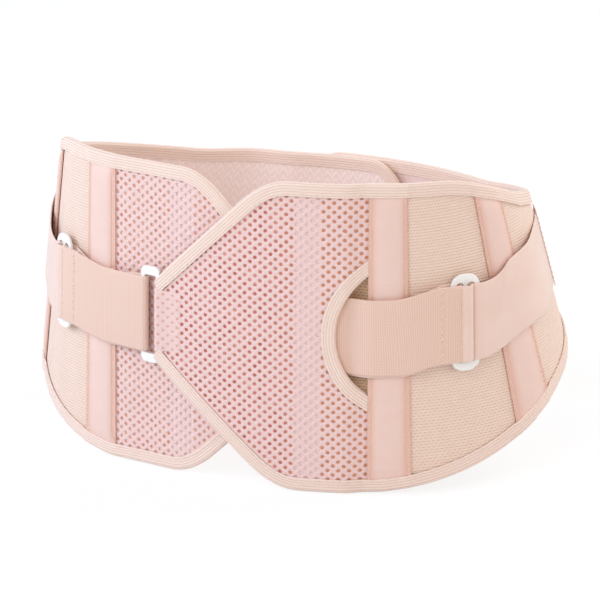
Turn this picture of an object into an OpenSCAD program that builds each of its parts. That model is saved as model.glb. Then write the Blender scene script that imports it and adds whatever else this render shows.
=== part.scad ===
// Lumbar support belt, closed as it is worn: two mesh front flaps that cross over each other,
// ribbed elastic sides with stay channels, two back halves fastened over each other, and two
// straps that run through sliders and rings to tighten the flaps.
// Every cloth piece is a flat pattern laid on one waist form. A place on the belt is given as
// u, the distance round the waist from the front middle (the wearer's left is plus u),
// z, the height, and o, the distance out from the form. Millimetres, Z up, front faces minus Y.

/* [Waist form] */
// Radius of the front arc at half height
front_r = 240; // [220:5:280]
// How far the front arc widens from half height to the bottom
front_flare = 1.6; // [0:0.2:3]
// Half angle of the front arc, in degrees
front_angle = 22.7; // [20.7:0.1:25]
// Radius of the side at the top
side_r_top = 66.5; // [60:0.5:76]
// Radius of the side at the bottom
side_r_bottom = 125; // [112:1:134]
// Radius of the rear corner at the top
rear_r_top = 100; // [86:1:110]
// Radius of the rear corner at the bottom
rear_r_bottom = 40; // [32:1:54]
// Angle at which the back arc starts, in degrees from the front
rear_angle = 146; // [140:1:150]

/* [Heights] */
// Height of the belt at the front
front_h = 184; // [176:1:196]
// Height of the belt at the back
back_h = 143; // [132:1:156]
// How far the lower edge rises at the sides
side_rise = 70; // [52:1:74]
// Where the lower edge starts to rise, round the waist
rise_from = 80; // [72:1:88]
// Where the lower edge is highest, round the waist
rise_top = 271; // [262:1:280]
// Where the lower edge is down again at the back, round the waist
rise_to = 374; // [362:1:386]
// Where the upper edge starts to fall towards the back
fall_from = 125; // [115:1:135]
// Where the upper edge has reached the back height
fall_to = 300; // [290:1:320]

/* [Front flaps] */
// How far the tip of the outer flap reaches past the front middle
outer_tip = 43; // [40:1:46]
// How far the hidden tip of the inner flap reaches past the front middle
inner_tip = 38; // [34:1:40]
// Height of a flap tip
tip_h = 59; // [54:1:62]
// Middle height of a flap tip
tip_z = 92; // [88:1:97]
// Height of the hem at a flap tip
hem_h = 39; // [34:1:42]
// Where a flap's lower edge is at its lowest, from the front middle
flap_full = 26; // [22:1:32]
// Where a flap's upper edge is at its highest, from the front middle
flap_full_top = 20; // [16:1:28]
// Radius of the rounded flap corners, along the edge
flap_round = 14; // [8:1:18]
// Thickness of the spacer mesh
mesh_t = 2.0; // [1.6:0.1:2.2]
// How far the outer flap stands off where it crosses the inner one
outer_lift = 3.5; // [3.3:0.1:4.2]
// How far the inner flap lies in where the outer one crosses it
inner_drop = 1.9; // [1.7:0.1:2.6]
// Half height of the strap slot in the outer flap, at its straight side
slot_half = 33; // [31:1:36]
// Depth of the strap slot
slot_deep = 19; // [18:0.5:20]
// Where the support band of the outer flap starts, from the front middle
outer_band_u = 40; // [36:1:44]
// Where the support band of the inner flap starts, from the front middle
inner_band_u = 28; // [20:1:32]
// Width of a support band
band_w = 11; // [8:1:12]

/* [Channels and elastic] */
// Inner edge of the front stay channel, from the front middle
chan_a = 79; // [77:1:81]
// Width of the front stay channel
chan_a_w = 23; // [20:1:25]
// Front edge of the side stay channel
chan_b = 157; // [155:1:163]
// Width of the side stay channel
chan_b_w = 26; // [22:1:28]
// Width of a stay
stay_w = 10; // [8:0.5:11]
// Thickness of a stay
stay_t = 1.0; // [0.8:0.1:1.1]
// Thickness of the elastic
elastic_t = 1.8; // [1.5:0.1:1.9]
// Thickness of the back lining
lining_t = 1.0; // [0.8:0.1:1.2]
// Width of the binding tape on each face
bind_w = 8; // [6:0.5:9]
// Thickness of the binding tape
bind_t = 0.8; // [0.6:0.05:0.9]

/* [Back] */
// How far each back half reaches past the back middle
overlap = 38; // [30:1:44]
// Radius of the corners of the back ends
end_round = 26; // [16:1:30]
// Height of the fastening patches
patch_h = 96; // [70:1:104]

/* [Straps] */
// Width of a strap
strap_w = 45; // [40:0.5:46]
// Thickness of a strap
strap_t = 1.0; // [0.8:0.05:1.05]
// Height of the strap's middle at the front
strap_z = 94; // [91:1:97]
// How far a strap climbs on its way to the back
strap_rise = 26; // [20:1:27]
// Where a strap is sewn down at the back, round the waist
strap_end = 240; // [234:1:246]
// Middle of the slider on the wearer's left, round the waist
slider_plus = 134; // [131:1:138]
// Middle of the slider on the wearer's right, round the waist
slider_minus = 122; // [118:1:126]
// Length of a slider
slider_h = 57; // [54:0.5:60]
// Width of a slider
slider_w = 18; // [17:0.5:19]
// Thickness of a slider
slider_t = 1.8; // [1.4:0.1:1.9]
// Length of a ring
ring_h = 58; // [54:0.5:60]
// Thickness of a ring
ring_t = 2.4; // [2:0.1:2.5]

/* [Hidden] */
half_bar = 1.25;
ring_w = 13;
gap = 0.2;
base = 0.3;
cloth_gap = 0.1;
chan_base = base + mesh_t + gap;
chan_t = 0.8;
chan_bump = 1.3;
crown = chan_base + chan_t + chan_bump;
tip_lo = tip_z - tip_h / 2;
tip_hi = tip_z + tip_h / 2;
a_out = chan_a + chan_a_w;
b_out = chan_b + chan_b_w;
join_a = chan_a + chan_a_w / 2;
join_b = chan_b + chan_b_w / 2;
outer_o = base + outer_lift + mesh_t / 2;
inner_o = base - inner_drop + mesh_t / 2;
hem_r = 2.25;
hem_t = 0.7;
hem_deep = 14;
facing_t = 1;
facing_hem = 6;
seam = 0.8;
stay_end = 2.5;
sewn = 20;
tab_in = 14;
tab_out = 5;
tab_t = 0.8;
climb_from = 80;
climb_len = 160;
ramp_out = 16;
ramp_in = 26;
ramp_back = 40;
ring_from_tip = 2.9;
ring_out = 10.4;
under_o = crown + 0.3 + strap_t / 2;
slider_o = 6.1;
bar_half = 1.3;
slider_round = 7.5;
window_round = 2;
frame_bar = 3;
end_bar = (slider_h - strap_w - 2) / 2;

// The waist form: four arcs on each side, at the bottom [0] and at the top [1].
r0 = [front_r + front_flare, front_r - front_flare];
r1 = [side_r_bottom, side_r_top];
r2 = [rear_r_bottom, rear_r_top];
c1 = [for (k = [0, 1]) (r0[k] - r1[k]) * [sin(front_angle), -cos(front_angle)]];
c2 = [for (k = [0, 1]) c1[k] + [r1[k] - r2[k], 0]];
r3 = [for (k = [0, 1]) r2[k] + c2[k][0] / sin(rear_angle)];
c3 = [for (k = [0, 1]) c2[k] + (r2[k] - r3[k]) * [sin(rear_angle), -cos(rear_angle)]];
centres = [[[0, 0], [0, 0]], c1, c2, c3];
radii = [r0, r1, r2, r3];
breaks = [0, front_angle, 90, rear_angle, 180];
mid_r = [for (r = radii) (r[0] + r[1]) / 2];
lens = [for (i = [0:3]) mid_r[i] * (breaks[i + 1] - breaks[i]) * PI / 180];
ends = [0, lens[0], lens[0] + lens[1], lens[0] + lens[1] + lens[2], lens[0] + lens[1] + lens[2] + lens[3]];
waist = ends[4];
front_y = -(front_r + front_flare * 0.8 + outer_o + mesh_t / 2 + gap + bind_t);
back_y = c3[0][1] + r3[0] + base + elastic_t + gap + bind_t;
shift_y = -(front_y + back_y) / 2;
drop_back = elastic_t + lining_t + 2 * bind_t + 4 * gap + 0.4;

function ease(x) = let (t = min(1, max(0, x))) t * t * (3 - 2 * t);
function mix(a, b, t) = a + (b - a) * t;
function side(u) = u < 0 ? -1 : 1;
function wrap(u) = u > waist ? u - 2 * waist : u < -waist ? u + 2 * waist : u;
function arc_no(a) = a < ends[1] ? 0 : a < ends[2] ? 1 : a < ends[3] ? 2 : 3;
function turn(a) = let (i = arc_no(a)) breaks[i] + (a - ends[i]) / mid_r[i] * 180 / PI;
// The point of the belt at u, z and o.
function pt(u, z, o) =
    let (w = wrap(u), a = abs(w), i = arc_no(a), f = turn(a), t = z / front_h)
    let (c = mix(centres[i][0], centres[i][1], t), r = mix(radii[i][0], radii[i][1], t) + o)
    [side(w) * (c[0] + r * sin(f)), c[1] - r * cos(f) + shift_y, z];
function unit(v) = v / norm(v);

// Edges of the belt as heights over u.
function top_z(u) = front_h - (front_h - back_h) * ease((abs(u) - fall_from) / (fall_to - fall_from));
function low_z(u) =
    let (a = abs(u))
    a < rise_top ? side_rise * ease((a - rise_from) / (rise_top - rise_from))
                 : side_rise * ease((rise_to - a) / (rise_to - rise_top));
function top_slope(u) = top_z(u + 0.5) - top_z(u - 0.5);
function low_slope(u) = low_z(u + 0.5) - low_z(u - 0.5);
// How far the binding tape reaches up from an edge of the given slope.
function tape_z(slope) = bind_w * sqrt(1 + slope * slope) + gap * 2;
// How far cloth stays back, along z, from the outside of its binding on such an edge.
function edge_z(slope) = (bind_t + gap) * sqrt(1 + slope * slope);
// A soft corner: zero before x = -r, then a curve into a line of the given slope.
function corner(x, slope, r) =
    x < -r ? 0 : x > r ? slope * x : slope * (x + r) * (x + r) / (4 * r);
// Edges of a flap whose body is on the plus side and whose tip is at u = -tip.
function flap_top(u, tip) =
    front_h - corner(flap_full_top - u, (front_h - tip_hi) / (flap_full_top + tip), flap_round);
function flap_low(u, tip) = corner(flap_full - u, tip_lo / (flap_full + tip), flap_round);
// Inner face of the flap mesh: the outer flap stands off, the inner flap lies in.
function lift(u) = outer_lift * ease((chan_a + 2 - u) / ramp_out);
function drop(u) = inner_drop * ease((chan_a + 1 - u) / ramp_in);
function outer_in(u) = base + lift(u);
function inner_in(u) = base - drop(u);
// The left half goes in under the right half at the back.
function dip(a) = drop_back * ease((a - (waist - overlap - 4 - ramp_back)) / ramp_back);
// Height of a strap's middle.
function strap_mid(a) = strap_z + strap_rise * ease((a - climb_from) / climb_len);

// A skin over rings of m points, with both faces of a sheet split along the same diagonal.
function quads(n, m) = [for (i = [0:n - 2], k = [0:m - 1], h = [0, 1])
    let (a = i * m + k, b = i * m + (k + 1) % m, c = a + m, d = b + m)
    k < m / 2 ? (h == 0 ? [a, b, d] : [a, d, c]) : (h == 0 ? [a, b, c] : [b, d, c])];
function cap4(n) = [[3, 2, 1], [3, 1, 0],
    [(n - 1) * 4, (n - 1) * 4 + 1, (n - 1) * 4 + 2], [(n - 1) * 4, (n - 1) * 4 + 2, (n - 1) * 4 + 3]];
fold_cap = [[0, 1, 6], [0, 6, 7], [1, 2, 5], [1, 5, 6], [2, 3, 4], [2, 4, 5]];
function cap8(n) = concat([for (f = fold_cap) [f[2], f[1], f[0]]],
    [for (f = fold_cap) [for (i = f) (n - 1) * 8 + i]]);

// Cloth between two edges: each column is [u, low z, high z, inner o, outer o], u rising.
module cloth(cols) {
    points = [for (c = cols) each [pt(c[0], c[1], c[3]), pt(c[0], c[1], c[4]),
                                   pt(c[0], c[2], c[4]), pt(c[0], c[2], c[3])]];
    polyhedron(points, concat(quads(len(cols), 4), cap4(len(cols))), convexity = 6);
}
// Tape folded over the edge of cloth of thickness t whose inner face is at o = in(u). The path
// of [u, z] along the edge has the cloth on its right.
module binding(path, in, t, room = gap) {
    n = len(path);
    oi = -room;
    oo = t + room;
    section = [[bind_w, oo + bind_t], [0, oo + bind_t], [0, oi - bind_t], [bind_w, oi - bind_t],
               [bind_w, oi], [bind_t, oi], [bind_t, oo], [bind_w, oo]];
    points = [for (i = [0:n - 1])
        let (p = path[i], q = path[min(n - 1, i + 1)] - path[max(0, i - 1)], d = unit([q[1], -q[0]]))
        each [for (e = section)
            let (u = p[0] + d[0] * e[0])
            pt(u, p[1] + d[1] * e[0], in(u) + e[1])]];
    polyhedron(points, concat(quads(n, 8), cap8(n)), convexity = 8);
}
// A band that turns in u and o: path of [u, o], thickness t, the height of its middle, its half
// width and the direction across it, all over u.
module ribbon(path, t, mid, half, across) {
    n = len(path);
    points = [for (i = [0:n - 1])
        let (p = path[i], q = unit(path[min(n - 1, i + 1)] - path[max(0, i - 1)]))
        let (e = [-q[1], q[0]] * t / 2, z = mid(p[0]), w = half(p[0]) * across(p[0]))
        let (a = pt(p[0] - e[0], z, p[1] - e[1]), b = pt(p[0] + e[0], z, p[1] + e[1]))
        each [a - w, b - w, b + w, a + w]];
    polyhedron(points, concat(quads(n, 4), cap4(n)), convexity = 10);
}
function steps(a, b, size) = let (n = max(1, ceil(abs(b - a) / size))) [for (i = [0:n]) mix(a, b, i / n)];
function flip(list) = [for (i = [len(list) - 1:-1:0]) list[i]];
function mirrored(cols) = flip([for (c = cols) concat([-c[0]], [for (i = [1:len(c) - 1]) c[i]])]);
// Directions on the belt: along u, out of it, straight up it, along a strap and across a strap.
function along(u, z) = unit(pt(u + 0.5, z, 0) - pt(u - 0.5, z, 0));
function outward(u, z) = unit(cross(along(u, z), pt(u, z + 5, 0) - pt(u, z - 5, 0)));
function upright(u, z) = cross(outward(u, z), along(u, z));
function strap_along(u) = unit(pt(u + 1, strap_mid(abs(u + 1)), 0) - pt(u - 1, strap_mid(abs(u - 1)), 0));
function strap_across(u) = cross(outward(u, strap_mid(abs(u))), strap_along(u));
// Puts a flat part on the belt: Z out of the belt, Y along the given direction.
module spot(u, z, o, y) {
    p = pt(u, z, o);
    n = outward(u, z);
    x = cross(y, n);
    multmatrix([[x[0], y[0], n[0], p[0]], [x[1], y[1], n[1], p[1]], [x[2], y[2], n[2], p[2]], [0, 0, 0, 1]])
        children();
}

// Pieces that both sides share; sgn is 1 for the plus side and -1 for the other.
inset = bind_t + gap;
function on_side(sgn, cols) = sgn > 0 ? cols : mirrored(cols);
module front_elastic(sgn) {
    cloth(on_side(sgn, [for (u = steps(join_a + 0.3, join_b - 0.3, 6))
        let (low = low_z(u) + edge_z(low_slope(u)), high = top_z(u) - edge_z(top_slope(u)))
        [u, low, high, base + cloth_gap, base + elastic_t]]));
}
module casing(sgn, from, width) {
    at = [0, 2.4, 3.2, 4.2, 5.4, width / 2, width - 5.4, width - 4.2, width - 3.2, width - 2.4, width];
    up = [0, 0, 0.42, 0.8, 0.94, 1, 0.94, 0.8, 0.42, 0, 0];
    cloth(on_side(sgn, [for (i = [0:len(at) - 1])
        let (u = from + at[i], o = chan_base + chan_bump * up[i])
        [u, low_z(u) + tape_z(low_slope(u)), top_z(u) - tape_z(top_slope(u)), o, o + chan_t]]));
}
module stay(sgn, from, width) {
    mid = from + width / 2;
    low = low_z(mid) + tape_z(low_slope(mid)) + abs(low_slope(mid)) * stay_w / 2 + stay_end;
    high = top_z(mid) - tape_z(top_slope(mid)) - abs(top_slope(mid)) * stay_w / 2 - stay_end;
    cloth(on_side(sgn, [for (u = steps(mid - stay_w / 2, mid + stay_w / 2, 5))
        [u, low, high, chan_base + cloth_gap / 2, chan_base + cloth_gap / 2 + stay_t]]));
}
module side_binding_top(sgn) {
    path = [for (u = steps(a_out + seam, join_b - 0.2, 6)) [u, top_z(u)]];
    binding(sgn > 0 ? path : mirrored(path), function(u) base, mesh_t);
}
module side_binding_low(sgn) {
    path = [for (u = steps(join_b - 0.2, a_out + seam, 6)) [u, low_z(u)]];
    binding(sgn > 0 ? path : mirrored(path), function(u) base, mesh_t);
}

// Back halves. A half runs from the side channel past the back middle to its rounded end.
back_to = waist + overlap;
function inside(sgn, a) = sgn > 0 ? 0 : dip(a);
rear_to = ends[3] + 14;
back_run = concat(steps(join_b + 0.3, rear_to, 4.5), steps(rear_to + 8, back_to - end_round, 9));
module back_sheet(sgn, lo, hi) {
    stop = back_to - end_round;
    r = end_round - inset;
    cloth(on_side(sgn, concat(
        [for (a = back_run) let (d = inside(sgn, a))
            [a, low_z(a) + edge_z(low_slope(a)), top_z(a) - edge_z(top_slope(a)), lo - d, hi - d]],
        [for (f = [15:15:90]) let (a = stop + r * sin(f), d = inside(sgn, a), h = end_round - r * cos(f))
            [a, h, top_z(stop) - h, lo - d, hi - d]])));
}
module back_binding(sgn) {
    stop = back_to - end_round;
    path = concat(
        [for (a = back_run) [a, top_z(a)]],
        [for (f = [15:15:90]) [stop + end_round * sin(f), top_z(stop) - end_round + end_round * cos(f)]],
        [for (f = [0:15:75]) [stop + end_round * cos(f), end_round - end_round * sin(f)]],
        [for (a = flip(back_run)) [a, low_z(a)]]);
    binding(sgn > 0 ? path : mirrored(path),
        function(u) base - lining_t - inside(sgn, abs(u)), lining_t + elastic_t);
}
module patch(u_mid, lo, hi) {
    z = back_h / 2;
    cloth([for (u = steps(u_mid - overlap + bind_w + 4, u_mid + overlap - bind_w - 4, 9))
        [u, z - patch_h / 2, z + patch_h / 2, lo, hi]]);
}

// Front flaps, drawn with the tip towards minus u; the inner flap is the same piece turned over.
function edge_low(u, tip) = (u > chan_a - 4 ? low_z(u) : flap_low(u, tip)) + inset * 1.5;
function edge_top(u, tip) = flap_top(u, tip) - inset * 1.5;
module flap_binding_top(sgn, tip) {
    path = [for (u = steps(-tip, a_out, 5)) [u, flap_top(u, tip)]];
    flap_tape(sgn, path);
}
module flap_binding_low(sgn, tip) {
    path = [for (u = steps(a_out, -tip, 5)) [u, u > chan_a - 4 ? low_z(u) : flap_low(u, tip)]];
    flap_tape(sgn, path);
}
module flap_tape(sgn, path) {
    if (sgn > 0)
        binding(path, function(u) outer_in(u), mesh_t);
    else
        binding(mirrored(path), function(u) inner_in(-u), mesh_t);
}
// A piece of cloth of any outline: flat points [u, z], triangles and outline, wrapped on the form.
module pattern(flat, tris, loop, in, t) {
    n = len(flat);
    points = concat([for (p = flat) pt(p[0], p[1], in(p[0]) + t)], [for (p = flat) pt(p[0], p[1], in(p[0]))]);
    back = [for (f = tris) [f[2] + n, f[1] + n, f[0] + n]];
    wall = [for (i = [0:len(loop) - 1], h = [0, 1])
        let (a = loop[i], b = loop[(i + 1) % len(loop)])
        h == 0 ? [b, a, a + n] : [b, a + n, b + n]];
    polyhedron(points, concat(tris, back, wall), convexity = 8);
}
// The outer flap's mesh has a slot open towards its channel: columns of two points up to the
// slot, one of three points where it starts, then columns of four.
slot_u = chan_a + 1;
function slot_z(u) =
    let (x = min(1, max(0, (slot_u - u) / (slot_deep + inset))))
    (slot_half + inset) * sqrt(1 - x * x);
module slotted_mesh(tip) {
    us = steps(-tip, slot_u - slot_deep - inset - 5, 6);
    apex = slot_u - slot_deep - inset;
    ws = concat([for (f = [6:5.2:84]) slot_u - (slot_deep + inset) * cos(f)], [slot_u, join_a - 0.3]);
    n = len(us);
    m = len(ws);
    flat = concat(
        [for (u = us) each [[u, edge_low(u, tip)], [u, edge_top(u, tip)]]],
        [[apex, edge_low(apex, tip)], [apex, strap_z], [apex, edge_top(apex, tip)]],
        [for (u = ws) each [[u, edge_low(u, tip)], [u, strap_z - slot_z(u)],
                            [u, strap_z + slot_z(u)], [u, edge_top(u, tip)]]]);
    k = 2 * n;
    w = k + 3;
    function quad(a, b, c, d) = [[a, b, c], [a, c, d]];
    tris = concat(
        [for (i = [0:n - 2]) each quad(2 * i, 2 * i + 1, 2 * i + 3, 2 * i + 2)],
        [[k - 2, k - 1, k + 1], [k - 2, k + 1, k], [k - 1, k + 2, k + 1]],
        quad(k, k + 1, w + 1, w), quad(k + 1, k + 2, w + 3, w + 2),
        [for (j = [0:m - 2]) each concat(
            quad(w + 4 * j, w + 4 * j + 1, w + 4 * j + 5, w + 4 * j + 4),
            quad(w + 4 * j + 2, w + 4 * j + 3, w + 4 * j + 7, w + 4 * j + 6))]);
    loop = concat([0], [for (i = [0:n - 1]) 2 * i + 1], [k + 2], [for (j = [0:m - 1]) w + 4 * j + 3],
        [for (j = [m - 1:-1:0]) w + 4 * j + 2], [k + 1], [for (j = [0:m - 1]) w + 4 * j + 1],
        [for (j = [m - 1:-1:0]) w + 4 * j], [k], [for (i = [n - 1:-1:1]) 2 * i]);
    pattern(flat, tris, loop, function(u) outer_in(u), mesh_t);
}
module plain_mesh(tip) {
    cloth(mirrored([for (u = steps(-tip, join_a - 0.3, 6))
        [u, edge_low(u, tip), edge_top(u, tip), inner_in(u), inner_in(u) + mesh_t]]));
}
module slot_edge() {
    binding([for (f = [5:5:175]) [slot_u - slot_deep * sin(f), strap_z + slot_half * cos(f)]],
        function(u) outer_in(u), mesh_t, gap * 2);
}
module slot_back() {
    apex = slot_u - slot_deep;
    deep = inner_o - ring_t / 2 - 0.6 - strap_t - cloth_gap * 3 - facing_t;
    cloth([for (u = steps(apex - 11, chan_a + facing_hem, 4.5))
        let (o = mix(deep, base - bind_t - gap * 2.5 - facing_t, ease((u - apex) / slot_deep)))
        [u, strap_z - slot_half - 10, strap_z + slot_half + 10, o, o + facing_t]]);
}
module flap_hem(sgn, tip, o_mid) {
    hub = tip + ring_from_tip;
    back = o_mid - mesh_t / 2 - cloth_gap - hem_t / 2;
    ring = [for (f = [70:22:290]) [hub - hem_r * cos(f), o_mid - hem_r * sin(f)]];
    path = concat([[tip - hem_deep, back], [tip - 4, back], [tip - 0.5, back - 0.1]], ring,
        [[tip + 0.7, o_mid + hem_r - 0.5]]);
    y = cross(outward(sgn * -tip, tip_z), along(sgn * -tip, tip_z));
    ribbon([for (p = path) [-sgn * p[0], p[1]]], hem_t, function(u) tip_z,
        function(u) hem_h / 2 - (abs(u) > tip + 0.2 ? 0.5 : 3), function(u) y);
}
module support_band(sgn, from, tip, in) {
    end = bind_w + 3;
    cloth(on_side(sgn, [for (u = steps(from, from + band_w, 5.5))
        [u, flap_low(u, tip) + end, flap_top(u, tip) - end, in(u) - 1.0, in(u) - cloth_gap]]));
}
module ring_plate(u, o) {
    spot(u, strap_z, o, strap_across(u))
        translate([0, 0, -ring_t / 2]) linear_extrude(ring_t) difference() {
            rounded(ring_w, ring_h, 3.5);
            rounded(ring_w - 4 * half_bar, strap_w + 2.4, 1.2);
        }
}
module rounded(w, h, r) {
    square([w, h - 2 * r], center = true);
    square([w - 2 * r, h], center = true);
    for (x = [-1, 1], y = [-1, 1])
        translate([x * (w / 2 - r), y * (h / 2 - r)]) circle(r);
}
module slider_plate(sgn, a) {
    spot(sgn * a, strap_mid(a), slider_o, upright(sgn * a, strap_mid(a)))
        translate([0, 0, -slider_t / 2]) linear_extrude(slider_t) difference() {
            rounded(slider_w, slider_h, slider_round);
            for (x = [-1, 1])
                translate([x * (slider_w / 2 - frame_bar + bar_half) / 2, 0])
                    rounded(slider_w / 2 - frame_bar - bar_half, slider_h - 2 * end_bar, window_round);
        }
}

// One strap: sewn down at the back, over the slider's far bar, under its middle bar, round the
// ring, back to the slider and round its middle bar, where the end is sewn to the strap. It comes
// out of the slot at mouth, just past the slot's deepest point.
mouth = slot_u - slot_deep + 5;
function strap_path(c, hub, o) =
    let (w = chan_a + 0.5, s = strap_t / 2, r = ring_t / 2 + 0.6 + s, m = slider_t / 2 + 0.55 + s)
    let (far = slider_o + slider_t / 2 + 0.7 + s, low = base + elastic_t + gap + s, x = slider_o)
    let (near = far + strap_t + 0.2, u2 = o - r, o2 = o + r, o3 = max(o2, under_o + 1.4))
    let (foot = max(mouth - 9, hub + 1.5), rise = max(mouth - 6, hub + 6))
    concat(
        [for (a = steps(strap_end, b_out + 4, 4.5))
            [a, mix(low + 0.1, under_o, ease((strap_end - sewn - a) / (strap_end - sewn - b_out - 8)))]],
        [for (a = steps(b_out, max(chan_b, c + 18), 5)) [a, under_o]],
        [[c + 14, 7.2], [c + 10.5, far - 0.1], [c + 7, far], [c + 5.8, far - 0.2], [c + 4.7, x + 1.1]],
        [[c + 4.1, x - 0.2], [c + 3.6, x - 1.6], [c + 3, low + 0.4], [c + 1.5, low], [c - 4, low]],
        [[c - 9, low + 0.25], [a_out + (c - a_out) * 0.3, under_o - 0.7]],
        [for (a = steps(a_out, w, 8)) [a, under_o]],
        [for (a = steps(w - 6, foot, 6)) [a, mix(u2, under_o, (a - foot) / (w - max(0, u2) - foot))]],
        [[hub + 1, u2]],
        [for (f = [0:22.5:180]) [hub - 0.2 - r * sin(f), o - r * cos(f)]],
        [[hub + 3, o2]],
        [for (a = steps(rise, w - 6, 3)) [a, mix(o2, o3, max(0, (a - mouth) / (w - mouth)))]],
        [[w, o3]],
        [for (a = steps(w + 8, c - 18, 9)) [a, mix(o3, near - 0.9, (a - w) / (c - 18 - w))]],
        [[c - 9, near], [c - 6, near], [c - 4.3, near - 0.1], [c - 3, near - 0.45], [c - 1.8, x + m + 0.4]],
        [[c - 0.6, x + m + 0.05]],
        [for (f = [0:22.5:180]) [c + 0.4 + m * sin(f), x + m * cos(f)]],
        [[c - 0.8, x - m], [c - 1.9, x - m + 0.4], [c - 2.3, x - 0.6], [c - 2.5, x + 0.4]],
        [[c - 3.2, far - 0.75], [c - 4.4, far - 0.15], [c - 6, far], [c - 9, far], [c - 16.5, far - 0.9]]);
// The strap lies square to its run, and keeps the slider's direction where it passes the slider.
function near_slider(u, c) =
    unit(mix(upright(side(u) * c, strap_mid(c)), strap_across(u), ease((abs(abs(u) - c) - slider_w) / 14)));
function held(u, c) = mix(strap_mid(c), strap_mid(abs(u)), ease((abs(abs(u) - c) - slider_w / 2) / 14));
module strap(sgn, c, hub, o) {
    ribbon([for (p = strap_path(c, hub, o)) [sgn * p[0], p[1]]], strap_t,
        function(u) held(u, c), function(u) strap_w / 2, function(u) near_slider(u, c));
}
module strap_tab(sgn) {
    lo = base + elastic_t + gap + strap_t + 0.35;
    cloth(on_side(sgn, [for (a = steps(strap_end - tab_in, strap_end + tab_out, 5))
        [a, strap_mid(a) - strap_w / 2 - 1, strap_mid(a) + strap_w / 2, lo, lo + tab_t]]));
}

// The sub-parts.
ring_minus_u = -(outer_tip + ring_from_tip + ring_out / 2);
ring_plus_u = inner_tip + ring_from_tip + ring_out / 2;
module back_panel_left() color("#ead2bf") back_sheet(-1, base, base + elastic_t);
module back_panel_right() color("#ead2bf") back_sheet(1, base, base + elastic_t);
module back_lining_left() color("#ebd3cc") back_sheet(-1, base - lining_t, base - cloth_gap);
module back_lining_right() color("#e6c4bb") back_sheet(1, base - lining_t, base - cloth_gap);
module back_binding_left() color("#f3e3d6") back_binding(-1);
module back_binding_right() color("#f3e3d6") back_binding(1);
patch_lo = base + elastic_t - drop_back + cloth_gap;
patch_gap = base - lining_t - cloth_gap - patch_lo;
module hook_patch() color("#e9d8cc") patch(waist, patch_lo, patch_lo + patch_gap / 2 - cloth_gap);
module loop_patch() color("#efdfd6") patch(waist, patch_lo + patch_gap / 2, patch_lo + patch_gap);
module side_elastic_left() color("#ead2bf") front_elastic(-1);
module side_elastic_right() color("#ead2bf") front_elastic(1);
module side_binding_top_left() color("#f3e3d6") side_binding_top(-1);
module side_binding_top_right() color("#f3e3d6") side_binding_top(1);
module side_binding_low_left() color("#f3e3d6") side_binding_low(-1);
module side_binding_low_right() color("#f3e3d6") side_binding_low(1);
module side_channel_left() color("#ebd0c9") casing(-1, chan_b, chan_b_w);
module side_channel_right() color("#ebd0c9") casing(1, chan_b, chan_b_w);
module side_stay_left() color("#f2f2ee") stay(-1, chan_b, chan_b_w);
module side_stay_right() color("#f2f2ee") stay(1, chan_b, chan_b_w);
module strap_left() color("#e8c9ba") strap(-1, slider_minus, outer_tip + ring_from_tip + ring_out, outer_o);
module strap_right() color("#e8c9ba") strap(1, slider_plus, inner_tip + ring_from_tip + ring_out, inner_o);
module strap_tab_left() color("#ebd0c9") strap_tab(-1);
module strap_tab_right() color("#ebd0c9") strap_tab(1);

module outer_mesh() color("#ebcbc8") slotted_mesh(outer_tip);
module outer_binding_top() color("#f3e3d6") flap_binding_top(1, outer_tip);
module outer_binding_low() color("#f3e3d6") flap_binding_low(1, outer_tip);
module outer_hem() color("#e8c6c3") flap_hem(1, outer_tip, outer_o);
module outer_band() color("#f5ebe8") support_band(1, outer_band_u, outer_tip, function(u) outer_in(u));
module slot_binding() color("#f3e3d6") slot_edge();
module slot_facing() color("#d6b596") slot_back();
module outer_channel() color("#ebd0c9") casing(1, chan_a, chan_a_w);
module outer_stay() color("#f2f2ee") stay(1, chan_a, chan_a_w);
module inner_mesh() color("#ebcbc8") plain_mesh(inner_tip);
module inner_binding_top() color("#f3e3d6") flap_binding_top(-1, inner_tip);
module inner_binding_low() color("#f3e3d6") flap_binding_low(-1, inner_tip);
module inner_hem() color("#e8c6c3") flap_hem(-1, inner_tip, inner_o);
module inner_band() color("#f5ebe8") support_band(-1, inner_band_u, inner_tip, function(u) inner_in(u));
module inner_channel() color("#ebd0c9") casing(-1, chan_a, chan_a_w);
module inner_stay() color("#f2f2ee") stay(-1, chan_a, chan_a_w);
module ring_left() color("#f7f7f5") ring_plate(ring_minus_u, outer_o);
module ring_right() color("#f7f7f5") ring_plate(ring_plus_u, inner_o);
module slider_left() color("#f7f7f5") slider_plate(-1, slider_minus);
module slider_right() color("#f7f7f5") slider_plate(1, slider_plus);

back_panel_left();
back_panel_right();
back_lining_left();
back_lining_right();
back_binding_left();
back_binding_right();
hook_patch();
loop_patch();
side_elastic_left();
side_elastic_right();
side_binding_top_left();
side_binding_top_right();
side_binding_low_left();
side_binding_low_right();
side_channel_left();
side_channel_right();
side_stay_left();
side_stay_right();
strap_left();
strap_right();
strap_tab_left();
strap_tab_right();
outer_mesh();
outer_binding_top();
outer_binding_low();
outer_hem();
outer_band();
slot_binding();
slot_facing();
outer_channel();
outer_stay();
inner_mesh();
inner_binding_top();
inner_binding_low();
inner_hem();
inner_band();
inner_channel();
inner_stay();
ring_left();
ring_right();
slider_left();
slider_right();
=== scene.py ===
# %% [markdown]
# # A lumbar support belt in Blender
# The belt is sewn from flat cloth: two mesh flaps cross at the front, ribbed elastic goes round the
# sides, and two straps pull the flaps tight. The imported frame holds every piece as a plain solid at
# its real size. This lesson dresses those solids with knit, ribs, tape, stitches and plastic.

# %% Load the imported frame
import math

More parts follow.
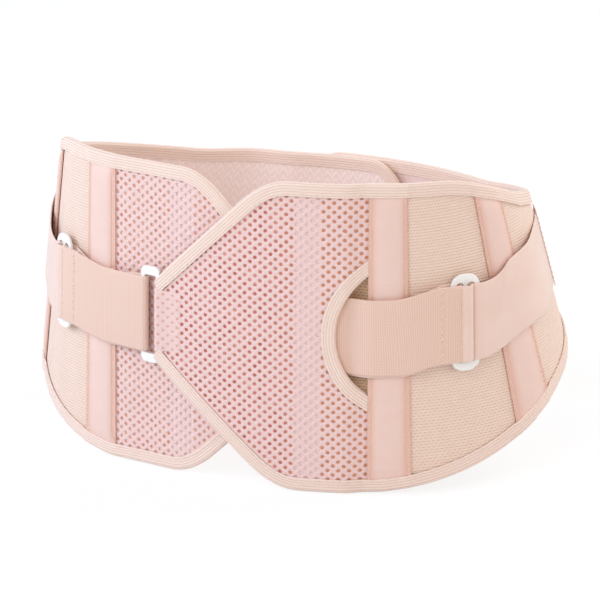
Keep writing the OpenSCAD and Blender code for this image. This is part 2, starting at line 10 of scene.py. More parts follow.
import bmesh
import bpy
import numpy as np
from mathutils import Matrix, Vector


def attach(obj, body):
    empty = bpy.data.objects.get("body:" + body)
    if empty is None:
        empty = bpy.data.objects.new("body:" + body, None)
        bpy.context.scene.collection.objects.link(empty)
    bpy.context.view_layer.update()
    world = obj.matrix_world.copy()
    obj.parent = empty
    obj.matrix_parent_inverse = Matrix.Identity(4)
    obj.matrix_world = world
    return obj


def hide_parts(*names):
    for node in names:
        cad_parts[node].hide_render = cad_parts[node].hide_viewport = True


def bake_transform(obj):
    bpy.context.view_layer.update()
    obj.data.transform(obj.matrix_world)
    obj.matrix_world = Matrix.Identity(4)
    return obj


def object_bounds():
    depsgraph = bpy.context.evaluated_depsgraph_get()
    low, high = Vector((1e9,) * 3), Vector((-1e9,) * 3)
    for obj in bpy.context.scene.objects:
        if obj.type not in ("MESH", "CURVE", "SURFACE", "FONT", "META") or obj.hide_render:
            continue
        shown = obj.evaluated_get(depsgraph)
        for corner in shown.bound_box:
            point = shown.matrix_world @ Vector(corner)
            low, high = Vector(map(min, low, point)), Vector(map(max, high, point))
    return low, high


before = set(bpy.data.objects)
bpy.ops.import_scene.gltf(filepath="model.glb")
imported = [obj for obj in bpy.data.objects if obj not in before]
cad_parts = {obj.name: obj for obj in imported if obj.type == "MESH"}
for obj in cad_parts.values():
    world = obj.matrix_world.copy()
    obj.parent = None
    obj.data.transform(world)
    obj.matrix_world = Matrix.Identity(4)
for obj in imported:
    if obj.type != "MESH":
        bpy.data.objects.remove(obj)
cad_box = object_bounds()

# %% [markdown]
# ## The camera
# The photograph was taken from in front, a little to the belt's left side and a little above, with a
# long lens from far away, so the belt shows hardly any perspective. A long focal length does the
# same here, and a small lens shift puts the belt where the photograph has it.

# %% Camera
MM = 0.001
IMAGE = 600
TARGET = np.array((0.0, -18.6, 95.0))
TURN, RISE = math.radians(22), math.radians(18)
DISTANCE = 2400.0
FOCAL_PIXELS = 4065
SHIFT_PIXELS = (10.9, -19.0)

camera = bpy.data.objects.new("camera", bpy.data.cameras.new("camera"))
bpy.context.scene.collection.objects.link(camera)
back = Vector((math.sin(TURN) * math.cos(RISE), -math.cos(TURN) * math.cos(RISE), math.sin(RISE)))
camera.location = (Vector(TARGET) + back * DISTANCE) * MM
camera.rotation_euler = back.to_track_quat("Z", "Y").to_euler()
camera.data.sensor_width = 36
camera.data.lens = FOCAL_PIXELS / IMAGE * camera.data.sensor_width
camera.data.shift_x = SHIFT_PIXELS[0] / IMAGE
camera.data.shift_y = SHIFT_PIXELS[1] / IMAGE
bpy.context.scene.camera = camera
bpy.context.scene.view_settings.view_transform = "Standard"
print("camera at", [round(x, 3) for x in camera.location])

# %% [markdown]
# ## Colours and nodes
# Colours are written as the sRGB hex values that a paint program shows, and one function turns them
# into the linear values that shaders work with. A second small function adds a shader node, sets its
# fields and links its inputs, so a material reads as a list of what feeds what.

# %% Colour and node helpers
def colour(code):
    """An sRGB hex colour as linear RGBA."""
    values = [int(code[i:i + 2], 16) / 255 for i in (1, 3, 5)]
    return [v / 12.92 if v <= 0.04045 else ((v + 0.055) / 1.055) ** 2.4 for v in values] + [1.0]


def node(tree, kind, inputs=(), **settings):
    """Adds a node with its settings. A socket among the inputs is linked, anything else is a value."""
    made = tree.nodes.new(kind)
    for key, value in settings.items():
        setattr(made, key, value)
    for key, value in dict(inputs).items():
        if isinstance(value, bpy.types.NodeSocket):
            tree.links.new(value, made.inputs[key])
        else:
            made.inputs[key].default_value = value
    return made


def new_material(name):
    """A material with nothing in its tree, and that tree."""
    made = bpy.data.materials.new(name)
    made.use_nodes = True
    made.node_tree.nodes.clear()
    return made, made.node_tree


def close_material(tree, **sockets):
    """Adds the Principled shader and the output. Socket names have _ for a space."""
    spaced = {k.replace("_", " "): v for k, v in sockets.items()}
    shader = node(tree, "ShaderNodeBsdfPrincipled", spaced)
    node(tree, "ShaderNodeOutputMaterial", {"Surface": shader.outputs[0]})


print("pale pink in linear light:", [round(v, 3) for v in colour("#EBCBC8")])

# %% [markdown]
# ## Studio
# The background is plain white. A white floor alone would turn grey under soft light, so this one
# gives off most of its white by itself for the camera and takes the rest from the lamps. The belt's
# soft shadow then still shows on it.

# %% Floor
FLOOR_HALF, FLOOR_DROP = 3.0, 0.0003
FLOOR_GLOW = 0.80
FLOOR_TONE = 0.22
FLOOR_BOUNCE = 0.8


def unshaded_rays(tree):
    """1 for the rays that should see plain white: camera, glossy and transmission rays."""
    rays = node(tree, "ShaderNodeLightPath").outputs
    pair = node(tree, "ShaderNodeMath", {0: rays["Is Camera Ray"], 1: rays["Is Glossy Ray"]},
                operation="MAXIMUM")
    every = node(tree, "ShaderNodeMath", {0: pair.outputs[0], 1: rays["Is Transmission Ray"]},
                 operation="MAXIMUM")
    return every.outputs[0]


floor_mesh = bpy.data.meshes.new("floor")
corners = np.array(((-1, -1, 0), (1, -1, 0), (1, 1, 0), (-1, 1, 0))) * FLOOR_HALF - (0, 0, FLOOR_DROP)
floor_mesh.from_pydata(corners.tolist(), [], [(0, 1, 2, 3)])
floor = bpy.data.objects.new("floor", floor_mesh)
bpy.context.scene.collection.objects.link(floor)

# Matt paper scatters light evenly, so the eye finds no floor, only the soft shadow of the belt.
paper, tree = new_material("white_paper_backdrop")
matt = node(tree, "ShaderNodeBsdfDiffuse", {"Color": [FLOOR_TONE] * 3 + [1]})
glow = node(tree, "ShaderNodeEmission", {"Color": [1, 1, 1, 1], "Strength": FLOOR_GLOW})
seen = node(tree, "ShaderNodeAddShader", {0: matt.outputs[0], 1: glow.outputs[0]})
plain = node(tree, "ShaderNodeBsdfDiffuse", {"Color": [FLOOR_BOUNCE] * 3 + [1]})
pick = node(tree, "ShaderNodeMixShader", {0: unshaded_rays(tree), 1: plain.outputs[0], 2: seen.outputs[0]})
node(tree, "ShaderNodeOutputMaterial", {"Surface": pick.outputs[0]})
floor_mesh.materials.append(paper)
print("floor of", paper.name)

# %% [markdown]
# ## Light
# The photograph has soft light from the left and hardly any dark side. Four soft boxes and a white
# world give the same: a cool key on the left, a weak warm fill on the right, one over the camera for
# the inside of the belt, and one behind for its rim.

# %% World and lamps
WORLD_LIGHT = 0.43

world = bpy.data.worlds.new("studio")
world.use_nodes = True
world.node_tree.nodes.clear()
tree = world.node_tree
strength = node(tree, "ShaderNodeMapRange", {"Value": unshaded_rays(tree), "To Min": WORLD_LIGHT,
                                             "To Max": 1.0})
sky = node(tree, "ShaderNodeBackground", {"Color": [1, 1, 1, 1], "Strength": strength.outputs[0]})
node(tree, "ShaderNodeOutputWorld", {"Surface": sky.outputs[0]})
bpy.context.scene.world = world


def lamp(name, place, size, watts, tint):
    """A square soft box at a place in metres, facing the belt."""
    light = bpy.data.lights.new(name, "AREA")
    light.size = size
    light.energy = watts
    light.color = colour(tint)[:3]
    made = bpy.data.objects.new(name, light)
    bpy.context.scene.collection.objects.link(made)
    made.location = place
    made.rotation_euler = (Vector(place) - Vector(TARGET) * MM).to_track_quat("Z", "Y").to_euler()


lamp("key_left", (-1.8, -0.9, 1.0), 1.2, 27, "#DEEAFF")
lamp("fill_right", (1.8, -0.8, 0.9), 1.4, 9, "#FFEBDD")
lamp("over_front", (-0.3, -2.0, 1.6), 1.4, 16, "#FFFFFF")
lamp("rim_back", (1.1, 1.3, 1.5), 1.2, 22, "#FFFFFF")
print("world and", len(bpy.data.lights), "lamps")

# %% [markdown]
# ## The waist form
# The real belt is cut flat and then worn round a waist. So each piece is drawn flat, with u the way
# round from the front middle and z the height, and one function lays it on the form at a distance o
# out from it. The form has four arcs on each side, and each arc has its own radius at the bottom and
# at the top, because a waist narrows. All lengths here are millimetres.

# %% Laying a flat piece on the form
FRONT_H, BACK_H = 184.0, 143.0
FRONT_R, FRONT_FLARE, FRONT_ANGLE, REAR_ANGLE = 240.0, 1.6, 22.7, 146.0
SIDE_R = np.array((125.0, 66.5))
REAR_R = np.array((40.0, 100.0))
BASE, GAP, MESH_T, ELASTIC_T, LINING_T, BIND_W, BIND_T = 0.3, 0.2, 2.0, 1.8, 1.0, 8.0, 0.8
OUTER_LIFT, INNER_DROP = 3.5, 1.9
OUTER_O = BASE + OUTER_LIFT + MESH_T / 2
INNER_O = BASE - INNER_DROP + MESH_T / 2

turns = np.radians((0, FRONT_ANGLE, 90, REAR_ANGLE, 180))
front_r = np.array((FRONT_R + FRONT_FLARE, FRONT_R - FRONT_FLARE))
c1 = (front_r - SIDE_R)[:, None] * (math.sin(turns[1]), -math.cos(turns[1]))
c2 = c1 + np.stack([SIDE_R - REAR_R, (0, 0)], 1)
back_r = REAR_R + c2[:, 0] / math.sin(turns[3])
c3 = c2 + (REAR_R - back_r)[:, None] * (math.sin(turns[3]), -math.cos(turns[3]))
CENTRES = np.stack([np.zeros((2, 2)), c1, c2, c3])
RADII = np.stack([front_r, SIDE_R, REAR_R, back_r])
ENDS = np.concatenate([[0], np.cumsum(RADII.mean(1) * np.diff(turns))])
WAIST = ENDS[4]
front_y = -(FRONT_R + FRONT_FLARE * 0.8 + OUTER_O + MESH_T / 2 + GAP + BIND_T)
back_y = c3[0, 1] + back_r[0] + BASE + ELASTIC_T + GAP + BIND_T
SHIFT_Y = -(front_y + back_y) / 2


def mix(a, b, t):
    return a + (b - a) * t


def ease(x):
    t = np.clip(x, 0, 1)
    return t * t * (3 - 2 * t)


def pt(u, z, o):
    """Points of the belt, in millimetres, at u round the waist, height z and distance o out."""
    u, z, o = np.broadcast_arrays(*[np.asarray(v, float) for v in (u, z, o)])
    w = np.where(u > WAIST, u - 2 * WAIST, np.where(u < -WAIST, u + 2 * WAIST, u))
    a = np.abs(w)
    i = np.clip(np.searchsorted(ENDS, a, side="right") - 1, 0, 3)
    f = turns[i] + (a - ENDS[i]) / RADII[i].mean(-1)
    t = z / FRONT_H
    centre = mix(CENTRES[i, 0], CENTRES[i, 1], t[..., None])
    r = mix(RADII[i, 0], RADII[i, 1], t) + o
    x = np.where(w < 0, -1, 1) * (centre[..., 0] + r * np.sin(f))
    return np.stack([x, centre[..., 1] - r * np.cos(f) + SHIFT_Y, z], -1)


box_mm = np.array(cad_box) / MM
print("waist round:", round(2 * WAIST), "mm; CAD box", box_mm.round(1).tolist())

# %% [markdown]
# ## The cut edges
# The edges are curves of height over the way round: the belt is low at the back, its bottom rises at
# the sides, and each flap narrows to a blunt tip. They could be drawn as splines, but a few formulas
# give the same edge to the cloth, its tape and its stitches.

# %% Edges of the belt
SIDE_RISE, RISE_FROM, RISE_TOP, RISE_TO, FALL_FROM, FALL_TO = 70.0, 80.0, 271.0, 374.0, 125.0, 300.0
TIP_LOW, TIP_HIGH, FLAP_FULL_LOW, FLAP_FULL_TOP, FLAP_ROUND = 62.5, 121.5, 26.0, 20.0, 14.0
OUTER_TIP, INNER_TIP = 43.0, 38.0
CHAN_A, CHAN_A_W, CHAN_B, CHAN_B_W = 79.0, 23.0, 157.0, 26.0
A_OUT, B_OUT = CHAN_A + CHAN_A_W, CHAN_B + CHAN_B_W
JOIN_A, JOIN_B = CHAN_A + CHAN_A_W / 2, CHAN_B + CHAN_B_W / 2


def top_z(u):
    return FRONT_H - (FRONT_H - BACK_H) * ease((np.abs(u) - FALL_FROM) / (FALL_TO - FALL_FROM))


def low_z(u):
    a = np.abs(u)
    up = ease((a - RISE_FROM) / (RISE_TOP - RISE_FROM))
    return SIDE_RISE * np.where(a < RISE_TOP, up, ease((RISE_TO - a) / (RISE_TO - RISE_TOP)))


def corner(x):
    """A soft corner of slope 1: zero, then a curve into a line."""
    bent = np.where(x > FLAP_ROUND, x, (x + FLAP_ROUND) ** 2 / (4 * FLAP_ROUND))
    return np.where(x < -FLAP_ROUND, 0, bent)


def flap_top(u, tip):
    return FRONT_H - (FRONT_H - TIP_HIGH) / (FLAP_FULL_TOP + tip) * corner(FLAP_FULL_TOP - u)


def flap_low(u, tip):
    taper = TIP_LOW / (FLAP_FULL_LOW + tip) * corner(FLAP_FULL_LOW - u)
    return np.where(u > CHAN_A - 4, low_z(u), taper)


def outer_in(u):
    """Inner face of the outer flap: it stands off where it crosses the inner one."""
    return BASE + OUTER_LIFT * ease((CHAN_A + 2 - u) / 16)


def inner_in(u):
    """Inner face of the inner flap, whose body is on the minus side."""
    return BASE - INNER_DROP * ease((CHAN_A + 1 + u) / 26)


FLAPS = (("outer", OUTER_TIP, outer_in), ("inner", INNER_TIP, inner_in))
print("height at the back:", round(float(top_z(WAIST) - low_z(WAIST))), "mm")

# %% [markdown]
# ## Building cloth
# Cloth has two faces and a rim, so each piece is made as a closed skin a millimetre or two thick. The
# flat coordinates go into a UV map called lay, in millimetres, and the materials use it to set out
# threads and ribs by a spacing in millimetres.

# %% Mesh helpers
def piece(name, points, faces, lay, finishes, sides=None, weld=False):
    """A named mesh object from points in millimetres, with its flat coordinates and finishes."""
    mesh = bpy.data.meshes.new(name)
    faces = faces.tolist() if isinstance(faces, np.ndarray) else faces
    mesh.from_pydata((np.asarray(points) * MM).tolist(), [], faces)
    corner_of = np.empty(len(mesh.loops), np.int32)
    mesh.loops.foreach_get("vertex_index", corner_of)
    lay_at_corners = np.asarray(lay, np.float32)[corner_of]
    mesh.uv_layers.new(name="lay").data.foreach_set("uv", lay_at_corners.ravel())
    for finish in finishes:
        mesh.materials.append(finish)
    if sides is not None:
        mesh.polygons.foreach_set("material_index", np.asarray(sides, np.int32))
    skin = bmesh.new()
    skin.from_mesh(mesh)
    if weld:
        bmesh.ops.remove_doubles(skin, verts=skin.verts, dist=2e-6)
    bmesh.ops.recalc_face_normals(skin, faces=skin.faces)
    skin.to_mesh(mesh)
    skin.free()
    mesh.shade_smooth()
    mesh.set_sharp_from_angle(angle=math.radians(55))
    made = bpy.data.objects.new(name, mesh)
    bpy.context.scene.collection.objects.link(made)
    return made


def grid_faces(n, m, first=0):
    """Quads of a grid of n columns and m rows."""
    at = np.arange(n * m).reshape(n, m) + first
    return np.stack([at[:-1, :-1], at[1:, :-1], at[1:, 1:], at[:-1, 1:]], -1).reshape(-1, 4)


def around(at):
    """Quads between rings of points. Each ring closes on itself."""
    wrapped = np.concatenate([at, at[:, :1]], 1)
    quads = np.stack([wrapped[:-1, :-1], wrapped[1:, :-1], wrapped[1:, 1:], wrapped[:-1, 1:]], -1)
    return quads.reshape(-1, 4)


def ridges(x, pitch, height):
    """Round ridges a pitch apart: 0 on a crest, and minus the height in a groove."""
    return height * (0.5 + 0.5 * np.cos(2 * math.pi * x / pitch)) - height


def slab(name, us, zs, outer_o, inner_o, finishes):
    """Cloth between two faces. us and zs are grids of columns and rows, and the o values too."""
    n, m = zs.shape
    us = np.broadcast_to(us, zs.shape)
    outer = pt(us, zs, np.broadcast_to(outer_o, zs.shape)).reshape(-1, 3)
    inner = pt(us, zs, np.broadcast_to(inner_o, zs.shape)).reshape(-1, 3)
    quads = grid_faces(n, m)
    z = zs.reshape(-1)
    quads = quads[(z[quads[:, 0]] != z[quads[:, 3]]) | (z[quads[:, 1]] != z[quads[:, 2]])]
    at = np.arange(n * m).reshape(n, m)
    rim = np.concatenate([at[:, 0], at[-1, 1:], at[::-1, -1][1:], at[0, ::-1][1:]])
    a, b = rim[:-1], rim[1:]
    apart = np.linalg.norm(outer[a] - outer[b], axis=1) > 1e-4
    a, b = a[apart], b[apart]
    walls = np.stack([a, a + n * m, b + n * m, b], 1)
    faces = np.concatenate([quads, quads[:, ::-1] + n * m, walls])
    lay = np.stack([us.reshape(-1), z], 1)
    sides = np.zeros(len(faces), int)
    sides[len(quads):2 * len(quads)] = len(finishes) - 1
    both_faces = np.concatenate([outer, inner])
    return piece(name, both_faces, faces, np.tile(lay, (2, 1)), finishes, sides, weld=True)


def rows(low, high, count):
    """Rows of heights spread evenly between two edges, one column for each entry of the edges."""
    return mix(np.asarray(low)[:, None], np.asarray(high)[:, None], np.linspace(0, 1, count))


def steps(a, b, size):
    return np.linspace(a, b, max(1, math.ceil(abs(b - a) / size)) + 1)


def both(sign, us):
    """Columns on the plus or the minus side, always from low u to high u."""
    return us if sign > 0 else -us[::-1]


print("a grid of 3 by 3 points has", len(grid_faces(3, 3)), "quads")

# %% [markdown]
# ## Dressing a solid
# Each visible piece says which body of the frame it moves with and which solid it stands for. A piece
# that crosses a joint names the two bodies that it lies between, and stays where it was built.

# %% How a piece joins the frame
def dress(obj, body, nodes, area=None, bend=None):
    """Rides the piece on its body, or bakes it where it stands when given a bend, and hides the solids
    that it stands for. The area is not used.
    """
    if bend:
        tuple(bend[1])
        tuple(bend[2])
        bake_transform(obj)
    else:
        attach(obj, body)
    if nodes:
        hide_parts(*nodes)
    return obj


def cut_area(us, low, high):
    """Flat area of cloth between two edges, in square millimetres."""
    tall = np.asarray(high) - np.asarray(low)
    return float((np.diff(us) * (tall[1:] + tall[:-1]) / 2).sum())


print("solids to stand for:", len(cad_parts))

# %% [markdown]
# ## Spacer mesh of the flaps
# The flaps are polyester spacer knit: an open front face with round holes in staggered columns, a
# plain back face, and fine threads that hold the two apart. Seen from the front each hole shows the
# back face in its own shadow. A picture of holes would look flat from the side, so every hole is
# really cut: the front face is set out in diamond cells, each with a hole in its middle.

# %% Knit finishes
BAND_U = {"outer": 40.0, "inner": -39.0}
BAND_W = 11.0
# Single loops of yarn are finer than a pixel here, so the grain is drawn coarser. Its size is a guess.
KNIT_GRAIN = 0.7
YARN = 0.45
KNIT_CLOUD, BACKING_CLOUD = 14.0, 11.0
WARM_RAMP = 25.0

# Warp-knitted polyester: loops stand up in the light, so its face is matt, soft and finely speckled.
knit_face, tree = new_material("polyester_spacer_knit")
lay = node(tree, "ShaderNodeUVMap", uv_map="lay")
cloudy = node(tree, "ShaderNodeTexNoise", {"Vector": lay.outputs[0], "Scale": 1 / KNIT_CLOUD,
                                           "Detail": 2.0})
loops = node(tree, "ShaderNodeTexNoise", {"Vector": lay.outputs[0], "Scale": 1 / KNIT_GRAIN, "Detail": 1.0})
tone = node(tree, "ShaderNodeMix", {"Factor": loops.outputs[0], "A": colour("#DFB2AD"),
                                    "B": colour("#FBE9E6")},
            data_type="RGBA")
worn = node(tree, "ShaderNodeMix", {"Factor": cloudy.outputs[0], "A": tone.outputs[2],
                                    "B": colour("#EFCDC8")},
            data_type="RGBA")
# Points marked as a pit turn a darker tan: painted shade in the shallow holes of the hem.
pits = node(tree, "ShaderNodeAttribute", attribute_name="pit")
pits_in_shade = node(tree, "ShaderNodeMix", {"Factor": pits.outputs["Fac"], "A": worn.outputs[2],
                                    "B": colour("#D9A08A")},
            data_type="RGBA")
rough = node(tree, "ShaderNodeBump", {"Height": loops.outputs[0], "Strength": 0.5, "Distance": YARN * MM})
close_material(tree, Base_Color=pits_in_shade.outputs[2], Roughness=0.62, Normal=rough.outputs[0],
               Sheen_Weight=0.25, Sheen_Roughness=0.4)


def knit_backing(side, deep, pale, warm, warm_from):
    """The plain back face of the spacer knit, in painted shade for the dim space between its two layers.
    It is warmer where the elastic facing lies behind it, and paler where a white support band does."""
    made, tree = new_material(f"polyester_knit_backing_{side}")
    lay = node(tree, "ShaderNodeUVMap", uv_map="lay")
    place = node(tree, "ShaderNodeSeparateXYZ", {0: lay.outputs[0]})
    banded = node(tree, "ShaderNodeMath", {0: place.outputs[0], 1: BAND_U[side] + BAND_W / 2,
                                           2: BAND_W / 2 + 2},
                  operation="COMPARE")
    cloudy = node(tree, "ShaderNodeTexNoise", {"Vector": lay.outputs[0], "Scale": 1 / BACKING_CLOUD,
                                               "Detail": 1.0})
    spread = node(tree, "ShaderNodeMapRange", {"Value": cloudy.outputs[0], "From Min": 0.35,
                                               "From Max": 0.65})
    tone = node(tree, "ShaderNodeMix", {"Factor": spread.outputs[0], "A": colour(deep), "B": colour(pale)},
                data_type="RGBA")
    behind = node(tree, "ShaderNodeMapRange", {"Value": place.outputs[0], "From Min": warm_from,
                                               "From Max": warm_from + WARM_RAMP, "To Max": 0.85})
    tan = node(tree, "ShaderNodeMix", {"Factor": behind.outputs[0], "A": tone.outputs[2],
                                       "B": colour(warm)},
               data_type="RGBA")
    shade = node(tree, "ShaderNodeMix", {"Factor": banded.outputs[0], "A": tan.outputs[2],
                                         "B": colour("#FCE6E4")},
                 data_type="RGBA")
    close_material(tree, Base_Color=shade.outputs[2], Roughness=0.75)
    return made


# The inside is knitted closed: the same soft polyester, but even and paler.
knit_inside, tree = new_material("polyester_knit_inside")
lay = node(tree, "ShaderNodeUVMap", uv_map="lay")
loops = node(tree, "ShaderNodeTexNoise", {"Vector": lay.outputs[0], "Scale": 1 / KNIT_GRAIN, "Detail": 1.0})
tone = node(tree, "ShaderNodeMix", {"Factor": loops.outputs[0], "A": colour("#E6BDB5"),
                                    "B": colour("#FBEAE5")},
            data_type="RGBA")
rough = node(tree, "ShaderNodeBump", {"Height": loops.outputs[0], "Strength": 0.5, "Distance": YARN * MM})
close_material(tree, Base_Color=tone.outputs[2], Roughness=0.7, Normal=rough.outputs[0], Sheen_Weight=0.3)

# The outer flap's backing has darker colours than the inner one's: painted shade, since less light reaches
# under the outer flap.
knit_backs = {"outer": knit_backing("outer", "#D07A6C", "#EDA89A", "#E0A07C", 22),
              "inner": knit_backing("inner", "#EBAC92", "#F9D3C0", "#E9B195", -20)}
print("materials:", knit_face.name, [m.name for m in knit_backs.values()])

# %% [markdown]
# ## Cutting the holes
# A boolean could cut the holes, but two thousand of them would be slow and leave ragged edges. Each
# cell is built instead as rings of points, from its diamond outline over the lip of the hole and down
# through it. Cells that touch have the same outline, so welding them gives one closed sheet.

# %% Diamond cells with holes
CELL_U, CELL_Z = 3.0, 5.4
HOLE_U, HOLE_Z = 1.12, 1.05
FACE_T, BACK_T = 0.7, 1.1
TUCK = 3.2
INSIDE_PIT = 0.35
SIDES = 12
SLOT_U, SLOT_DEEP, SLOT_HALF, STRAP_Z = CHAN_A + 1, 19.0, 33.0, 94.0


def cell_centres(tip, slotted):
    """Middles of the cells that lie inside the flap, drawn with the tip towards minus u."""
    i, j = np.meshgrid(np.arange(-20, 32), np.arange(-2, 38), indexing="ij")
    u = i * CELL_U
    z = (j + i % 2 / 2) * CELL_Z
    steep = np.hypot(1, (FRONT_H - TIP_HIGH) / (FLAP_FULL_TOP + tip))
    inside = (z > flap_low(u, tip) + TUCK * steep) & (z < flap_top(u, tip) - TUCK * steep)
    inside &= (u > -tip + 2) & (u < JOIN_A - 2)
    if slotted:
        across, up = (u - SLOT_U) / (SLOT_DEEP + TUCK), (z - STRAP_Z) / (SLOT_HALF + TUCK)
        inside &= across ** 2 + up ** 2 > 1
        inside &= ~((u > SLOT_U) & (np.abs(z - STRAP_Z) < SLOT_HALF + TUCK))
    return np.stack([u[inside], z[inside]], 1)


def cell_ring():
    """The outline of one cell, as offsets from its middle: three points on each of four sides."""
    tips = np.array(((CELL_U, 0), (0, CELL_Z / 2), (-CELL_U, 0), (0, -CELL_Z / 2), (CELL_U, 0)))
    return np.concatenate([mix(tips[s], tips[s + 1], np.arange(3)[:, None] / 3) for s in range(4)])


def knit_sheet(name, centres, mirror, into, top, thick, finishes, holes):
    """A closed sheet of cells whose outer face is at o = into(u) + top. The rings of a cell go from
    its outline over the lip of the hole and through it to the outline at the back."""
    angle = np.arange(SIDES) * 2 * math.pi / SIDES
    round_hole = np.stack([np.cos(angle) * HOLE_U, np.sin(angle) * HOLE_Z], 1)
    ring = cell_ring()
    if holes:
        flat = [ring, mix(round_hole, ring, 0.3), round_hole, round_hole * 1.04, ring]
        fall = [0, 0.08, 0.32, thick, thick]
    else:
        flat = [ring, ring * 0, ring * 0, ring]
        fall = [0, 0, thick - INSIDE_PIT, thick]
    count, levels = len(centres), len(flat)
    spot = centres[:, None, None, :] + np.stack(flat)[None]
    wobble = 0.10 * np.sin(spot[..., ::-1] * (0.9, 1.3) + np.sin(spot * 0.23))
    spot = (spot + wobble).reshape(-1, 2)
    drop = np.broadcast_to(np.array(fall)[None, :, None], (count, levels, SIDES)).reshape(-1)
    u = -spot[:, 0] if mirror else spot[:, 0]
    points = pt(u, spot[:, 1], into(u) + top - drop)
    k = np.arange(SIDES)
    after = (k + 1) % SIDES
    one = np.concatenate([np.stack([s * SIDES + k, s * SIDES + after, (s + 1) * SIDES + after,
                                    (s + 1) * SIDES + k], 1) for s in range(levels - 1)])
    if not holes:
        one = np.concatenate([one[:SIDES], one[2 * SIDES:]])
    faces = (one[None] + (np.arange(count) * levels * SIDES)[:, None, None]).reshape(-1, 4)
    edge_keys = {}
    for c, (cu, cz) in enumerate(centres.round(2)):
        for s in range(SIDES):
            a = tuple(((cu, cz) + ring[s]).round(2))
            b = tuple(((cu, cz) + ring[(s + 1) % SIDES]).round(2))
            edge_keys.setdefault(frozenset((a, b)), []).append((c, s))
    walls = []
    for uses in edge_keys.values():
        if len(uses) == 1:
            start = uses[0][0] * levels * SIDES
            s = uses[0][1]
            e = (s + 1) % SIDES
            deep = (levels - 1) * SIDES
            walls.append((start + e, start + s, start + s + deep, start + e + deep))
    faces = np.concatenate([faces, np.array(walls)])
    lay_at = np.stack([u, spot[:, 1]], 1)
    sides = np.zeros(len(faces), int)
    if not holes:
        sides[:count * 2 * SIDES] = np.tile(np.repeat((0, 1), SIDES), count)
    return piece(name, points, faces, lay_at, finishes, sides, weld=True)


print("points round a hole:", SIDES)

# %% Mesh of both flaps
def flap_area(tip):
    us = np.linspace(-tip, JOIN_A, 80)
    return cut_area(us, flap_low(us, tip), flap_top(us, tip))


for side, tip, into in FLAPS:
    cells = cell_centres(tip, slotted=side == "outer")
    area = len(cells) * CELL_U * CELL_Z
    for part, top, thick, finishes in (("face", MESH_T, FACE_T, [knit_face]),
                                       ("backing", BACK_T, BACK_T, [knit_backs[side], knit_inside])):
        sheet = knit_sheet(f"{side}_mesh_{part}", cells, side == "inner", into, top, thick, finishes,
                           holes=part == "face")
        stands_for = [f"{side}_mesh"] if part == "face" else []
        dress(sheet, f"{side}_flap", stands_for, area)
    print(side, "mesh:", len(cells), "holes, flat area", round(flap_area(tip)), "mm2")

# %% [markdown]
# ## Binding tape
# The raw edges are closed by a soft elastic tape folded over them. It is woven with raised cords that
# run along it, which is what gives it its fine lines. A sweep makes it: the cross-section has the
# cords, the round fold and the inside of the fold, and it follows the edge of each piece.

# %% Binding finish
CORD_PITCH = 1.6
# Single crossing threads are finer than a pixel here. They are drawn coarser, at a guessed spacing.
PICK = 1.1
BIND_FUZZ = 5 / 3

# Elastic woven over cords: matt and a little fuzzy, with fine darker lines along the tape.
binding, tree = new_material("corded_elastic_binding")
lay = node(tree, "ShaderNodeUVMap", uv_map="lay")
cords = node(tree, "ShaderNodeTexWave", {"Vector": lay.outputs[0], "Scale": math.pi / 10 / CORD_PITCH},
             bands_direction="Y")
picks = node(tree, "ShaderNodeTexWave", {"Vector": lay.outputs[0], "Scale": math.pi / 10 / PICK},
             bands_direction="X")
fuzz = node(tree, "ShaderNodeTexNoise", {"Vector": lay.outputs[0], "Scale": 1 / BIND_FUZZ, "Detail": 3.0})
grooves = node(tree, "ShaderNodeMapRange", {"Value": cords.outputs[1], "From Min": 0.0, "From Max": 0.45,
                                            "To Min": 1.0, "To Max": 0.0})
soft = node(tree, "ShaderNodeMix", {"Factor": fuzz.outputs[0], "A": colour("#EFD8CB"),
                                    "B": colour("#F7E7DD")},
            data_type="RGBA")
lined = node(tree, "ShaderNodeMix", {"Factor": grooves.outputs[0], "A": soft.outputs[2],
                                     "B": colour("#E5C3B0")},
             data_type="RGBA")
woven = node(tree, "ShaderNodeBump", {"Height": picks.outputs[1], "Strength": 0.35, "Distance": 0.1 * MM})
close_material(tree, Base_Color=lined.outputs[2], Roughness=0.8, Normal=woven.outputs[0], Sheen_Weight=0.2)
print("material:", binding.name)

# %% [markdown]
# ## Folding tape over an edge
# A curve with a bevel would be the usual way, but its section turns with the curve. Here the section
# is set out at each point of the edge, so the fold stays on the edge and the tape keeps its width.

# %% Section of the tape
CORD_H = 0.13
FOLD_STEP = 0.4
TONGUE, TONGUE_LIFT = 7.5, 0.4
SEAM_IN = BIND_W - 1.4


def tape_section(cloth, room):
    """The folded tape in its own plane: d in from the fold, o out, and the way across it. The last
    value is 1 on the outer leaf and 0 on the inner one."""
    r = cloth / 2 + room + BIND_T
    arc = math.pi * r / 2
    reach = BIND_W - r + arc
    v = np.linspace(reach, -reach, int(2 * reach / FOLD_STEP) + 1)
    turn = np.clip((arc - v) / r, 0, math.pi)
    past = np.maximum(np.abs(v) - arc, 0)
    ridge = ridges(v, CORD_PITCH, CORD_H)
    d = r - (r + ridge) * np.sin(turn) + past
    o = cloth / 2 + (r + ridge) * np.cos(turn)
    leaf = ease(v / arc)
    hollow = np.linspace(math.pi, 0, 7)
    rc = cloth / 2 + room
    d_in = np.concatenate([[BIND_W + 0.15, BIND_W], r - rc * np.sin(hollow), [BIND_W, BIND_W + 0.15]])
    o_in = np.concatenate([[-room - BIND_T / 2, -room], cloth / 2 + rc * np.cos(hollow),
                           [cloth + room, cloth + room + BIND_T / 2]])
    leaf_in = np.concatenate([[0, 0], ease(np.cos(hollow)), [1, 1]])
    v_in = np.linspace(-reach, reach, len(d_in))
    whole = [np.concatenate(pair) for pair in ((d, d_in), (o, o_in), (v, v_in), (leaf, leaf_in))]
    return *whole, len(v)


